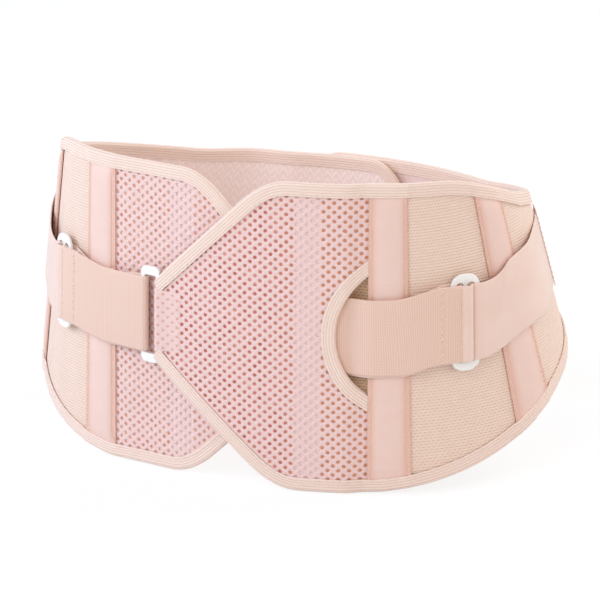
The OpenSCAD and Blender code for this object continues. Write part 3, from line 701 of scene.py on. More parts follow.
def over_channels(u):
    """How far the tape's outer leaf rises to pass over the flat ends of the channels."""
    a = np.abs(u)
    lift = 0
    for start, width in ((CHAN_A, CHAN_A_W), (CHAN_B, CHAN_B_W)):
        lift = lift + 1.0 * ease((a - start + 2.5) / 2.5) * ease((start + width + 2.5 - a) / 2.5)
    return lift


def end_caps(at, shown):
    """Faces that close both ends of a folded tape: strips between its outside and its hollow."""
    hollow = at.shape[1] - shown
    across = np.rint((1 - np.arange(shown) / (shown - 1)) * (hollow - 1)).astype(int) + shown
    faces = []
    for ring in (at[0], at[-1]):
        for i in range(shown - 1):
            corners = [ring[i], ring[i + 1], ring[across[i + 1]], ring[across[i]]]
            faces.append(corners if across[i] != across[i + 1] else corners[:3])
    return faces


print("points across a tape, outside:", tape_section(MESH_T, GAP)[-1])

# %% Sweeping the tape along an edge
def tape(name, path, into, cloth, room=GAP, over=True, longer=()):
    """Tape along a path of [u, z] that has its cloth on the right. longer has an end, 0 or -1, with a
    function of the depth and the leaf that says how much further the tape goes on there. Returns the
    tape and the line of its stitches."""
    path = np.asarray(path, float)
    way = np.gradient(path, axis=0)
    way /= np.linalg.norm(way, axis=1)[:, None]
    right = np.stack([way[:, 1], -way[:, 0]], 1)
    d, o, v, leaf, shown = tape_section(cloth, room)
    u = path[:, :1] + right[:, :1] * d
    z = path[:, 1:] + right[:, 1:] * d
    lift = over_channels(u) * leaf if over else 0 * u
    for end, reach, rise in longer:
        step = reach(d, leaf) * (1 if end else -1)
        for row, share in ((end, 1.0), (1 if end == 0 else -2, 0.45)):
            u[row] += way[end, 0] * step * share
            z[row] += way[end, 1] * step * share
            lift[row] += rise * share * leaf
    grid = pt(u, z, into(u) + o + lift)
    n, m = u.shape
    along = np.concatenate([[0], np.cumsum(np.linalg.norm(np.diff(grid, axis=0), axis=2).mean(1))])
    lay_at = np.stack(np.broadcast_arrays(along[:, None], v), -1).reshape(-1, 2)
    at = np.arange(n * m).reshape(n, m)
    faces = around(at).tolist() + end_caps(at, shown)
    made = piece(name, grid.reshape(-1, 3), faces, lay_at, [binding])
    made["length_mm"] = float(along[-1])
    sewn = int(np.argmin(np.abs(d[:shown] - SEAM_IN) + 99 * (v[:shown] < 0)))
    return made, pt(u[:, sewn], z[:, sewn], (into(u) + o + lift)[:, sewn])


def mirrored(path):
    flipped = np.asarray(path)[::-1].copy()
    flipped[:, 0] *= -1
    return flipped


def over_ring(d, leaf):
    """The outer leaf runs on over the ring, and its inner edge a little further."""
    return (TONGUE + 0.4 * d) * ease((leaf - 0.4) / 0.5)


print("a tongue over a ring is", TONGUE, "mm long")

# %% [markdown]
# ## Tapes of the flaps and the slot
# Each flap has one run of tape along its top and one along its bottom. At the tip the outer leaf runs
# on over the ring's corner, as the photograph shows. A short bowed run closes the edge of the slot.

# %% Tapes of the flaps and the slot
EDGE_STEP = 3.0
SLOT_BOW = 35.0
seams = {}
for side, tip, into in FLAPS:
    us = steps(-tip, A_OUT, EDGE_STEP)
    top = np.stack([us, flap_top(us, tip)], 1)
    low = np.stack([us, flap_low(us, tip)], 1)[::-1]
    for edge, path in (("top", top), ("low", low)):
        name = f"{side}_binding_{edge}"
        end = 0 if (side == "outer") == (edge == "top") else -1
        made, line = tape(name + "_tape", path if side == "outer" else mirrored(path), into, MESH_T,
                          longer=[(end, over_ring, TONGUE_LIFT)])
        seams[name] = line, f"{side}_flap", None
        dress(made, f"{side}_flap", [name])

SLOT_EDGE = CHAN_A + 0.1
apex = SLOT_U - SLOT_DEEP
bow_r = (SLOT_BOW ** 2 + (SLOT_EDGE - apex) ** 2) / (2 * (SLOT_EDGE - apex))
bow = math.asin(SLOT_BOW / bow_r)
arc = np.linspace(bow, -bow, 45)
path = np.stack([apex + bow_r - bow_r * np.cos(arc), STRAP_Z + bow_r * np.sin(arc)], 1)


def slanted(d, leaf):
    """The bowed tape is cut off along the channel, so it goes on further the deeper it lies."""
    return d / math.tan(bow)


made, line = tape("slot_binding_tape", path, outer_in, MESH_T, 2 * GAP, over=False,
                  longer=[(0, slanted, 0), (-1, slanted, 0)])
seams["slot_binding"] = line, "outer_flap", None
dress(made, "outer_flap", ["slot_binding"])
print("flap and slot tapes:", len(seams))

# %% [markdown]
# ## Ribbed elastic
# The sides and the back are wide woven elastic. Rubber cords lie inside it, so its face has fine ribs
# all the way round. The ribs are real ridges here: rows of points follow them, and the rows are cut
# off where the cloth was cut, as scissors would cut it.

# %% Elastic finish
# Given, not measured: about three pixels of the render.
RIB_PITCH = 1.75
DASH_EVERY = 2.4
ELASTIC_FUZZ = 4.0


def dashed_elastic(name, pale, warm, dash, slant):
    """Woven elastic: ribs a couple of millimetres apart, and in the groove between two ribs a row of
    short dark dashes, where the rubber cord shows between the crossing threads."""
    made, tree = new_material(name)
    lay = node(tree, "ShaderNodeUVMap", uv_map="lay")
    turned = node(tree, "ShaderNodeMapping", {"Vector": lay.outputs[0], "Rotation": (0, 0, -slant)})
    place = node(tree, "ShaderNodeSeparateXYZ", {0: turned.outputs[0]})
    level = node(tree, "ShaderNodeMath", {0: place.outputs[1], 1: RIB_PITCH}, operation="DIVIDE")
    row = node(tree, "ShaderNodeMath", {0: level.outputs[0]}, operation="FLOOR")
    groove = node(tree, "ShaderNodeMath", {0: level.outputs[0], 1: 0.5}, operation="PINGPONG")
    along = node(tree, "ShaderNodeMath", {0: place.outputs[0], 1: 1 / DASH_EVERY, 2: 0.0},
                 operation="MULTIPLY_ADD")
    shifted = node(tree, "ShaderNodeMath", {0: row.outputs[0], 1: 0.5, 2: along.outputs[0]},
                   operation="MULTIPLY_ADD")
    beat = node(tree, "ShaderNodeMath", {0: shifted.outputs[0], 1: 0.5}, operation="PINGPONG")
    deep = node(tree, "ShaderNodeMapRange", {"Value": groove.outputs[0], "From Min": 0.24,
                                             "From Max": 0.46})
    short = node(tree, "ShaderNodeMapRange", {"Value": beat.outputs[0], "From Min": 0.16, "From Max": 0.30,
                                              "To Min": 0.25})
    dashes = node(tree, "ShaderNodeMath", {0: deep.outputs[0], 1: short.outputs[0]}, operation="MULTIPLY")
    fuzz = node(tree, "ShaderNodeTexNoise", {"Vector": lay.outputs[0], "Scale": 1 / ELASTIC_FUZZ,
                                             "Detail": 4.0})
    soft = node(tree, "ShaderNodeMix", {"Factor": fuzz.outputs[0], "A": colour(warm), "B": colour(pale)},
                data_type="RGBA")
    dotted = node(tree, "ShaderNodeMix", {"Factor": dashes.outputs[0], "A": soft.outputs[2],
                                          "B": colour(dash)},
                  data_type="RGBA")
    thread = node(tree, "ShaderNodeBump", {"Height": dashes.outputs[0], "Strength": 0.3,
                                           "Distance": 0.2 * MM},
                  invert=True)
    close_material(tree, Base_Color=dotted.outputs[2], Roughness=0.7, Normal=thread.outputs[0],
                   Sheen_Weight=0.2)
    return made


SLANT = math.radians(2.5)
# Woven elastic is matt, and its covered rubber cords give it even, lightly dashed lines.
elastic = dashed_elastic("ribbed_woven_elastic", "#F4DFD2", "#EBD0BF", "#DAB69D", SLANT)
back_elastic = dashed_elastic("ribbed_back_elastic", "#F4DFD2", "#EBD0BF", "#DFBFA9", 0.0)
# The facing is the same ribbed elastic as the sides. Its warmer tan tones and darker dashes are painted
# shade for the shade deep behind the slot.
shaded_facing_elastic = dashed_elastic("facing_elastic_in_shade", "#F9DABB", "#F3CEA9", "#C08D60", 0.0)
print("materials:", elastic.name, back_elastic.name, shaded_facing_elastic.name)

# %% [markdown]
# ## Sides and back
# The side elastic joins a flap to the back, so it lies between two bodies.
# The halves of the back overlap, and the left half goes in under the right one.

# %% Sides and back halves
RIB_H = 0.18
INSET = BIND_T + GAP
OVERLAP, END_ROUND = 38.0, 26.0
BACK_TO = WAIST + OVERLAP
RAMP_BACK = 40.0
DROP_BACK = ELASTIC_T + LINING_T + 2 * BIND_T + 4 * GAP + 0.4
BEND_FROM, BEND_TO, BEND_Z = 156.0, 104.0, 90.0
CUT_SLIVER = 0.12


def ribbed_rows(us, low, high, slant):
    """Heights of rows that follow the ribs, four to a rib, cut off at the two edges."""
    lean = slant * us[:, None]
    level = np.arange((low - slant * us).min(), (high - slant * us).max() + RIB_PITCH, RIB_PITCH / 4)
    z = level[None] + lean
    z = np.where(z < low[:, None] + CUT_SLIVER, low[:, None], z)
    z = np.where(z > high[:, None] - CUT_SLIVER, high[:, None], z)
    z[:, 0] = low
    z[:, -1] = high
    return z, ridges(z - lean, RIB_PITCH, RIB_H)


def edge_room(edge, us):
    """How far cloth stays back from a sloping edge, measured upwards."""
    return INSET * np.sqrt(1 + (edge(us + 0.5) - edge(us - 0.5)) ** 2)


def dip(u, sign):
    """The minus half goes in under the plus half at the back."""
    if sign > 0:
        return 0 * u
    start = WAIST - OVERLAP - 4 - RAMP_BACK
    return DROP_BACK * ease((np.abs(u) - start) / RAMP_BACK)


def back_columns(sign):
    """Columns of a back half with its low and high edges, up to the rounded end."""
    stop, r = BACK_TO - END_ROUND, END_ROUND - INSET
    run = np.concatenate([steps(JOIN_B + 0.3, ENDS[3] + 14, 4.5), steps(ENDS[3] + 20, stop, 6)])
    low, high = low_z(run) + edge_room(low_z, run), top_z(run) - edge_room(top_z, run)
    turn = np.radians(np.arange(7.5, 91, 7.5))
    curl = END_ROUND - r * np.cos(turn)
    us = np.concatenate([run, stop + r * np.sin(turn)])
    low, high = np.concatenate([low, curl]), np.concatenate([high, top_z(stop) - curl])
    if sign < 0:
        return -us[::-1], low[::-1], high[::-1]
    return us, low, high


def side_bend(sign):
    """How a piece of the side bends from the belt to its flap, ahead of the side channel."""
    flap = "outer_flap" if sign > 0 else "inner_flap"
    return flap, pt(sign * BEND_FROM, BEND_Z, 0) * MM, pt(sign * BEND_TO, BEND_Z, 0) * MM


HALVES = (("right", 1), ("left", -1))
for side, sign in HALVES:
    bend = side_bend(sign)
    us = both(sign, steps(JOIN_A + 0.3, JOIN_B - 0.3, 4))
    low, high = low_z(us) + edge_room(low_z, us), top_z(us) - edge_room(top_z, us)
    z, ridge = ribbed_rows(us, low, high, math.tan(SLANT) * sign)
    cloth = slab(f"side_elastic_{side}_web", us[:, None], z, BASE + ELASTIC_T + ridge, BASE + 0.1,
                 [elastic])
    dress(cloth, "belt", [f"side_elastic_{side}"],
          cut_area(us, low, high), bend)
    us, low, high = back_columns(sign)
    z, ridge = ribbed_rows(us, low, high, 0.0)
    inn = dip(us, sign)[:, None]
    cloth = slab(f"back_panel_{side}_web", us[:, None], z, BASE + ELASTIC_T + ridge - inn, BASE - inn,
                 [back_elastic])
    dress(cloth, "belt", [f"back_panel_{side}"],
          cut_area(us, low, high))
    print(side, "elastic: side and back half,", len(cloth.data.polygons), "faces on the back half")

# %% [markdown]
# ## Tapes of the sides and the back
# The same sweep closes the sides. Each back half has one long run that goes round its rounded end and
# holds the elastic and the lining together.

# %% Tapes of the sides and the back
for side, sign in HALVES:
    bend = side_bend(sign)
    us = steps(A_OUT, JOIN_B + 0.3, EDGE_STEP)
    top, low = np.stack([us, top_z(us)], 1), np.stack([us, low_z(us)], 1)[::-1]
    for edge, path in (("top", top), ("low", low)):
        name = f"side_binding_{edge}_{side}"
        path = path if sign > 0 else mirrored(path)
        made, line = tape(name + "_tape", path, lambda u: BASE + 0 * u, MESH_T)
        seams[name] = line, "belt", bend
        dress(made, "belt", [name],
              bend=bend)
    stop = BACK_TO - END_ROUND
    run = np.concatenate([steps(JOIN_B + 0.3, ENDS[3] + 14, 4), steps(ENDS[3] + 19, stop, 5)])
    turn = np.radians(np.arange(6, 91, 6))
    path = np.concatenate([
        np.stack([run, top_z(run)], 1),
        np.stack([stop + END_ROUND * np.sin(turn), top_z(stop) - END_ROUND + END_ROUND * np.cos(turn)], 1),
        np.stack([stop + END_ROUND * np.cos(turn[:-1]), END_ROUND - END_ROUND * np.sin(turn[:-1])], 1),
        np.stack([run, low_z(run)], 1)[::-1]])
    name = f"back_binding_{side}"
    made, line = tape(name + "_tape", path if sign > 0 else mirrored(path),
                      lambda u, s=sign: BASE - LINING_T - dip(u, s), LINING_T + ELASTIC_T)
    seams[name] = line, "belt", None
    dress(made, "belt", [name])
    print(side, "back tape:", round(made["length_mm"]), "mm long")

# %% [markdown]
# ## Stay channels
# A stay is a flat plastic spring that keeps the belt from rolling up. Each one sits in a tube of
# satin tape, sewn down along two flat margins. The tube is a raised profile that dies away at both
# ends, where the binding holds it flat.

# %% Channel finish
# Single weft threads are finer than a pixel here. They are drawn coarser, at a guessed spacing.
SATIN_RIB = 1.5
SATIN_CLOUD = 25 / 3

# Satin has long floating threads: smooth, with a soft sheen across the tape, and painted shade darkens its
# sewn margins.
satin, tree = new_material("polyester_satin_tape")
lay = node(tree, "ShaderNodeUVMap", uv_map="lay")
weft = node(tree, "ShaderNodeTexWave", {"Vector": lay.outputs[0], "Scale": math.pi / 10 / SATIN_RIB,
                                        "Distortion": 0.6, "Detail Scale": 0.4}, bands_direction="Y")
cloudy = node(tree, "ShaderNodeTexNoise", {"Vector": lay.outputs[0], "Scale": 1 / SATIN_CLOUD,
                                           "Detail": 3.0})
soft = node(tree, "ShaderNodeMix", {"Factor": cloudy.outputs[0], "A": colour("#E9C6BA"),
                                    "B": colour("#F2D6CB")},
            data_type="RGBA")
ribbed = node(tree, "ShaderNodeMix", {"Factor": weft.outputs[1], "A": soft.outputs[2],
                                      "B": colour("#EFD1C6")},
              data_type="RGBA")
weave = node(tree, "ShaderNodeBump", {"Height": weft.outputs[1], "Strength": 0.14, "Distance": 0.2 * MM})
# Painted shade: the tape darkens towards its margins, where the tube falls away to them.
edges = node(tree, "ShaderNodeAttribute", attribute_name="edge")
warm = node(tree, "ShaderNodeMix", {"Factor": edges.outputs["Fac"], "A": ribbed.outputs[2],
                                    "B": colour("#E3B29E")},
            data_type="RGBA")
close_material(tree, Base_Color=warm.outputs[2], Roughness=0.48, Normal=weave.outputs[0], Sheen_Weight=0.3,
               Sheen_Roughness=0.35)
print("material:", satin.name)

# %% [markdown]
# ## Raised tubes
# A channel is a sheet whose middle is lifted over the stay, and whose margins stay flat for the
# stitches. A narrow tape closes each front channel from the inside, over the cut edge of the mesh.

# %% Channels
CHAN_BASE, CHAN_T, CHAN_BUMP = BASE + MESH_T + GAP, 0.8, 1.3
MARGIN = 2.4
CHAN_TUCK = 3.0
EDGE_SHADE = 0.7
LINING_W, LINING_IN, LINING_STEP = 15.0, 1.6, 1.6
linings = []


def channel(sign, start, width):
    """Columns, rows and outward places of one channel, with its ends tucked under the binding."""
    x = np.concatenate([steps(0, MARGIN, 1.2), MARGIN + (width - 2 * MARGIN) * (0.5 - 0.5 * np.cos(
        np.linspace(0, math.pi, 19)))[1:-1], steps(width - MARGIN, width, 1.2)])
    us = start + x
    across = np.clip(np.abs(x - width / 2) / (width / 2 - MARGIN), 0, 1)
    z = rows(low_z(us) + CHAN_TUCK, top_z(us) - CHAN_TUCK, 60)
    end = np.minimum(z - low_z(us)[:, None], top_z(us)[:, None] - z) - BIND_W
    o = CHAN_BASE + CHAN_BUMP * np.sqrt(1 - across ** 2.6)[:, None] * ease((end + 0.5) / 7)
    if sign < 0:
        return -us[::-1], z[::-1], o[::-1]
    return us, z, o


def read_lay_u(obj):
    """The flat coordinate u of each point of a piece."""
    mesh = obj.data
    corner_of = np.empty(len(mesh.loops), np.int32)
    mesh.loops.foreach_get("vertex_index", corner_of)
    flat = np.empty(2 * len(mesh.loops), np.float32)
    mesh.uv_layers["lay"].data.foreach_get("uv", flat)
    values = np.zeros(len(mesh.vertices), np.float32)
    values[corner_of] = flat[::2]
    return values


for side, sign in HALVES:
    flap = "outer" if sign > 0 else "inner"
    for name, body, start, width in ((f"{flap}_channel", f"{flap}_flap", CHAN_A, CHAN_A_W),
                                     (f"side_channel_{side}", "belt", CHAN_B, CHAN_B_W)):
        us, z, o = channel(sign, start, width)
        made = slab(name + "_tape", us[:, None], z, o + CHAN_T, o, [satin])
        # The distance from the channel's middle sets how much painted shade darkens each point towards the
        # margins.
        off = np.abs(np.abs(read_lay_u(made)) - start - width / 2) / (width / 2)
        shade = made.data.attributes.new("edge", "FLOAT", "POINT")
        shade.data.foreach_set("value", EDGE_SHADE * ease((off - 0.45) / 0.5))
        for edge, k in (("front", 1), ("rear", -2)):
            seams[f"{name}_{edge}"] = pt(us[k], z[k], o[k] + CHAN_T), body, None
        dress(made, body, [name],
              cut_area(us, z[:, 0], z[:, -1]))
    us = both(sign, steps(CHAN_A + LINING_IN, CHAN_A + LINING_IN + LINING_W, LINING_STEP))
    z = rows(low_z(us) + BIND_W + 0.6, top_z(us) - BIND_W - 0.6, 60)
    made = slab(f"{flap}_channel_lining", us[:, None], z, BASE - 0.1, BASE - 0.5, [satin])
    dress(made, f"{flap}_flap", [],
          cut_area(us, z[:, 0], z[:, -1]))
    for number, k in ((1, 1), (7, -2)):
        linings.append((f"{flap}_channel_lining_{number}", pt(us[k], z[k], BASE - 0.5), f"{flap}_flap"))
print("4 stay channels, and a lining tape behind the 2 on the flaps")

# %% [markdown]
# ## Linings, patches, bands and facing
# The back halves are lined. One lining is knitted in zigzag rows, which the photograph shows inside
# the belt, and the other is brushed. Hook and loop patches hold the halves together, white satin bands
# stiffen the flaps, and an elastic facing lies behind the slot, so that the strap doesn't rub the wearer.

# %% Lining finishes
VEE_U, VEE_Z, VEE_H = 6.4, 5.4, 5.0
VEE_LINE = 0.16
KNIT_FUZZ, NAP = 5 / 7, 10 / 9

# Fine jersey with a raised zigzag: matt, with pale lines where the crests catch the light.
zigzag, tree = new_material("zigzag_knit_lining")
lay = node(tree, "ShaderNodeUVMap", uv_map="lay")
place = node(tree, "ShaderNodeSeparateXYZ", {0: lay.outputs[0]})
there = node(tree, "ShaderNodeMath", {0: place.outputs[0], 1: VEE_U / 2}, operation="PINGPONG")
lean = node(tree, "ShaderNodeMath", {0: there.outputs[0], 1: 2 * VEE_H / VEE_U, 2: place.outputs[1]},
            operation="MULTIPLY_ADD")
line = node(tree, "ShaderNodeMath", {0: lean.outputs[0], 1: VEE_Z / 2}, operation="PINGPONG")
shade = node(tree, "ShaderNodeMapRange", {"Value": line.outputs[0], "From Min": VEE_Z * (0.5 - VEE_LINE),
                                          "From Max": VEE_Z * (0.5 - VEE_LINE / 3)})
fuzz = node(tree, "ShaderNodeTexNoise", {"Vector": lay.outputs[0], "Scale": 1 / KNIT_FUZZ, "Detail": 2.0})
deep = node(tree, "ShaderNodeMix", {"Factor": fuzz.outputs[0], "A": colour("#F8DED6"),
                                    "B": colour("#FCECE7")},
            data_type="RGBA")
vees = node(tree, "ShaderNodeMix", {"Factor": shade.outputs[0], "A": deep.outputs[2],
                                    "B": colour("#FEF6F3")},
            data_type="RGBA")
nap = node(tree, "ShaderNodeBump", {"Height": fuzz.outputs[0], "Strength": 0.25, "Distance": 0.3 * MM})
close_material(tree, Base_Color=vees.outputs[2], Roughness=0.85, Normal=nap.outputs[0], Sheen_Weight=0.35)

# Brushing pulls the fibres up into a nap: no gloss at all, and a pale bloom at shallow angles.
brushed, tree = new_material("brushed_knit_lining")
lay = node(tree, "ShaderNodeUVMap", uv_map="lay")
fuzz = node(tree, "ShaderNodeTexNoise", {"Vector": lay.outputs[0], "Scale": 1 / NAP, "Detail": 5.0,
                                         "Roughness": 0.7})
tone = node(tree, "ShaderNodeMix", {"Factor": fuzz.outputs[0], "A": colour("#EFC4C0"),
                                    "B": colour("#FDF1EE")},
            data_type="RGBA")
nap = node(tree, "ShaderNodeBump", {"Height": fuzz.outputs[0], "Strength": 0.6, "Distance": 0.5 * MM})
close_material(tree, Base_Color=tone.outputs[2], Roughness=0.95, Normal=nap.outputs[0], Sheen_Weight=0.6)
print("materials:", zigzag.name, brushed.name)

# %% [markdown]
# ## Laying the linings
# The lining is seen at a shallow angle inside the belt, where a bump map alone would look flat. So its
# rows of points are fine enough to carry the knitted relief themselves.

# %% Linings
VEE_RELIEF = 0.35


def zigzag_relief(u, z):
    """Height of the knitted rows: raised lines that go up and down along the row."""
    there = np.abs((u / VEE_U) % 1 * 2 - 1) * VEE_U / 2
    row = (z - there * 2 * VEE_H / VEE_U + VEE_H) / VEE_Z - 0.5
    return VEE_RELIEF * ease(np.abs(row % 1 * 2 - 1) * 1.8 - 0.8)


for side, sign in HALVES:
    us, low, high = back_columns(sign)
    area = cut_area(us, low, high)
    fine = np.interp(np.arange(0, len(us) - 0.999, 1 / 5), np.arange(len(us)), us)
    low, high = np.interp(fine, us, low), np.interp(fine, us, high)
    z = rows(low, high, 150)
    inn = dip(fine, sign)[:, None]
    if sign < 0:
        relief = zigzag_relief(fine[:, None], z)
    else:
        relief = 0.12 * np.sin(fine[:, None] * 1.9 + np.sin(z * 1.3)) * np.sin(z * 2.3)
    edge = ease((np.minimum(z - low[:, None], high[:, None] - z) - BIND_W + 2) / 3)
    made = slab(f"back_lining_{side}_knit", fine[:, None], z, BASE - 0.1 - inn,
                BASE - LINING_T + 0.05 - inn - relief * edge, [zigzag if sign < 0 else brushed])
    dress(made, "belt", [f"back_lining_{side}"],
          area)
    print(side, "lining:", len(made.data.polygons), "faces")

# %% [markdown]
# ## Patches, bands and facing
# These small pieces are plain slabs, and their finishes tell them apart: rows of hooks, the gloss of a
# ribbon, the ribs of elastic. The facing dips behind the slot, to leave room for the strap's fold.

# %% Hook tape and ribbon finishes
HOOK_GAP = 1.6
# Single ribbon threads are finer than a pixel here. They are drawn coarser, at a guessed spacing.
RIBBON_WEFT = 1.2

# Moulded nylon hooks stand in rows: an even, coarse grain with a slight gloss.
hooks, tree = new_material("nylon_hook_tape")
lay = node(tree, "ShaderNodeUVMap", uv_map="lay")
rows_of_hooks = node(tree, "ShaderNodeTexVoronoi", {"Vector": lay.outputs[0], "Scale": 1 / HOOK_GAP,
                                                    "Randomness": 0.25})
tone = node(tree, "ShaderNodeMix", {"Factor": rows_of_hooks.outputs[0], "A": colour("#F3E6DC"),
                                    "B": colour("#D9C0B2")}, data_type="RGBA")
stand = node(tree, "ShaderNodeBump", {"Height": rows_of_hooks.outputs[0], "Strength": 0.8,
                                      "Distance": 0.6 * MM})
close_material(tree, Base_Color=tone.outputs[2], Roughness=0.5, Normal=stand.outputs[0])

# White satin ribbon: smooth and a little glossy, with faint lines across it.
ribbon, tree = new_material("white_satin_ribbon")
lay = node(tree, "ShaderNodeUVMap", uv_map="lay")
weft = node(tree, "ShaderNodeTexWave", {"Vector": lay.outputs[0], "Scale": math.pi / 10 / RIBBON_WEFT},
            bands_direction="Y")
tone = node(tree, "ShaderNodeMix", {"Factor": weft.outputs[1], "A": colour("#EFE3E0"),
                                    "B": colour("#FBF4F2")},
            data_type="RGBA")
weave = node(tree, "ShaderNodeBump", {"Height": weft.outputs[1], "Strength": 0.2, "Distance": 0.2 * MM})
close_material(tree, Base_Color=tone.outputs[2], Roughness=0.4, Normal=weave.outputs[0], Sheen_Weight=0.2)
print("materials:", hooks.name, ribbon.name)

# %% Small sewn pieces
PATCH_H = 96.0
FACING_T, FACING_DEEP, FACING_HEM = 1.0, 4.6, 10.0

patch_low = BASE + ELASTIC_T - DROP_BACK + 0.1
patch_room = BASE - LINING_T - 0.1 - patch_low
half = OVERLAP - BIND_W - 4
us = steps(WAIST - half, WAIST + half, 4)
z = rows(0 * us + (BACK_H - PATCH_H) / 2, 0 * us + (BACK_H + PATCH_H) / 2, 40)
middle_o = patch_low + patch_room / 2
for name, lo, hi, finish in (("hook_patch", patch_low, middle_o - 0.1, hooks),
                             ("loop_patch", middle_o, patch_low + patch_room, brushed)):
    made = slab(name + "_tape", us[:, None], z, hi, lo, [finish])
    dress(made, "belt", [name])

for side, tip, into in FLAPS:
    us = steps(BAND_U[side], BAND_U[side] + BAND_W, 1.4)
    flap_u = us if side == "outer" else -us
    z = rows(flap_low(flap_u, tip) + BIND_W + 3, flap_top(flap_u, tip) - BIND_W - 3, 50)
    rib = 0.12 * np.cos(np.linspace(0, 2 * math.pi, len(us)))[:, None]
    inn = into(us)[:, None]
    made = slab(f"{side}_band_ribbon", us[:, None], z, inn - 0.1, inn - 0.9 + rib, [ribbon])
    dress(made, f"{side}_flap", [f"{side}_band"],
          cut_area(us, z[:, 0], z[:, -1]))

us = steps(apex - 11, CHAN_A + 6, 2)
near_o = BASE - BIND_T - GAP * 2.5 - FACING_T
o = mix(INNER_O - FACING_DEEP, near_o, ease((us - apex - 5) / (SLOT_DEEP - 2)))[:, None]
tall = SLOT_HALF + FACING_HEM
z = rows(0 * us + STRAP_Z - tall, 0 * us + STRAP_Z + tall, 190)
made = slab("slot_facing_elastic", us[:, None], z, o + FACING_T + ridges(z, RIB_PITCH, RIB_H), o,
            [shaded_facing_elastic])
dress(made, "outer_flap", ["slot_facing"])
print("patches, bands and slot facing")

# %% [markdown]
# ## Straps
# Each strap is one length of smooth elastic webbing. It is sewn down at the back, goes through the
# slider, round the ring at the flap's tip and back to the slider's middle bar, where its end is sewn
# to itself. Its outside is smooth and its other side is finely ribbed, so the run that comes back
# from the ring shows the ribs.

# %% Strap finishes
# Given, not measured: about two pixels of the render.
WEB_RIB = 1.3
WEB_FUZZ, WEB_CLOUD = 10 / 11, 20.0

# The smooth face of woven elastic: close, even and a little silky.
webbing, tree = new_material("smooth_elastic_webbing")
lay = node(tree, "ShaderNodeUVMap", uv_map="lay")
fuzz = node(tree, "ShaderNodeTexNoise", {"Vector": lay.outputs[0], "Scale": 1 / WEB_FUZZ, "Detail": 3.0})
cloudy = node(tree, "ShaderNodeTexNoise", {"Vector": lay.outputs[0], "Scale": 1 / WEB_CLOUD, "Detail": 2.0})
tone = node(tree, "ShaderNodeMix", {"Factor": cloudy.outputs[0], "A": colour("#EACABB"),
                                    "B": colour("#F1D8CC")},
            data_type="RGBA")
grain = node(tree, "ShaderNodeBump", {"Height": fuzz.outputs[0], "Strength": 0.25, "Distance": 0.2 * MM})
close_material(tree, Base_Color=tone.outputs[2], Roughness=0.55, Normal=grain.outputs[0], Sheen_Weight=0.35)

# The reverse shows the weave as fine ribs across the strap, and is duller.
webbing_back, tree = new_material("ribbed_webbing_reverse")
lay = node(tree, "ShaderNodeUVMap", uv_map="lay")
across = node(tree, "ShaderNodeTexWave", {"Vector": lay.outputs[0], "Scale": math.pi / 10 / WEB_RIB},
              bands_direction="X")
along = node(tree, "ShaderNodeTexWave", {"Vector": lay.outputs[0], "Scale": math.pi / 10 / (WEB_RIB * 1.3)},
             bands_direction="Y")
woven = node(tree, "ShaderNodeMix", {"Factor": 0.22, "A": across.outputs[1], "B": along.outputs[1]})
tone = node(tree, "ShaderNodeMix", {"Factor": woven.outputs[0], "A": colour("#E3BEAC"),
                                    "B": colour("#EDD0C1")},
            data_type="RGBA")
grain = node(tree, "ShaderNodeBump", {"Height": woven.outputs[0], "Strength": 0.3, "Distance": 0.2 * MM})
close_material(tree, Base_Color=tone.outputs[2], Roughness=0.7, Normal=grain.outputs[0], Sheen_Weight=0.2)
print("materials:", webbing.name, webbing_back.name)

# %% [markdown]
# ## The way of a strap
# The route is a list of places along the strap: how far round the waist and how far out. A spline
# through them would swing wide of the slider's bars. Cutting the corners of the list twice gives a
# smooth route that stays inside them.

# %% Route of a strap
STRAP_W, STRAP_T, STRAP_RISE, STRAP_END = 45.0, 1.0, 26.0, 240.0
CLIMB_FROM, CLIMB_LEN, SEWN = 80.0, 160.0, 20.0
CROWN = CHAN_BASE + CHAN_T + CHAN_BUMP
UNDER_O = CROWN + 0.3 + STRAP_T / 2
SLIDER_O, SLIDER_T, SLIDER_W, RING_T, RING_OUT = 6.1, 1.8, 18.0, 2.4, 10.4
RING_FROM_TIP = 2.9
SLIDERS = {"right": 134.0, "left": 122.0}
HUBS = {"right": INNER_TIP + RING_FROM_TIP + RING_OUT, "left": OUTER_TIP + RING_FROM_TIP + RING_OUT}
MOUTH = SLOT_U - SLOT_DEEP + 5
HOLD = 30.0
PUFF = 0.9
UNDER_SAG = 1.6
LEAD_O = UNDER_O + 0.9


def strap_mid(a):
    return STRAP_Z + STRAP_RISE * ease((np.abs(a) - CLIMB_FROM) / CLIMB_LEN)


def run(a, b, size, out):
    """Places every so often between a and b, with out giving how far out each lies."""
    return [(x, float(out(x))) for x in steps(a, b, size)]


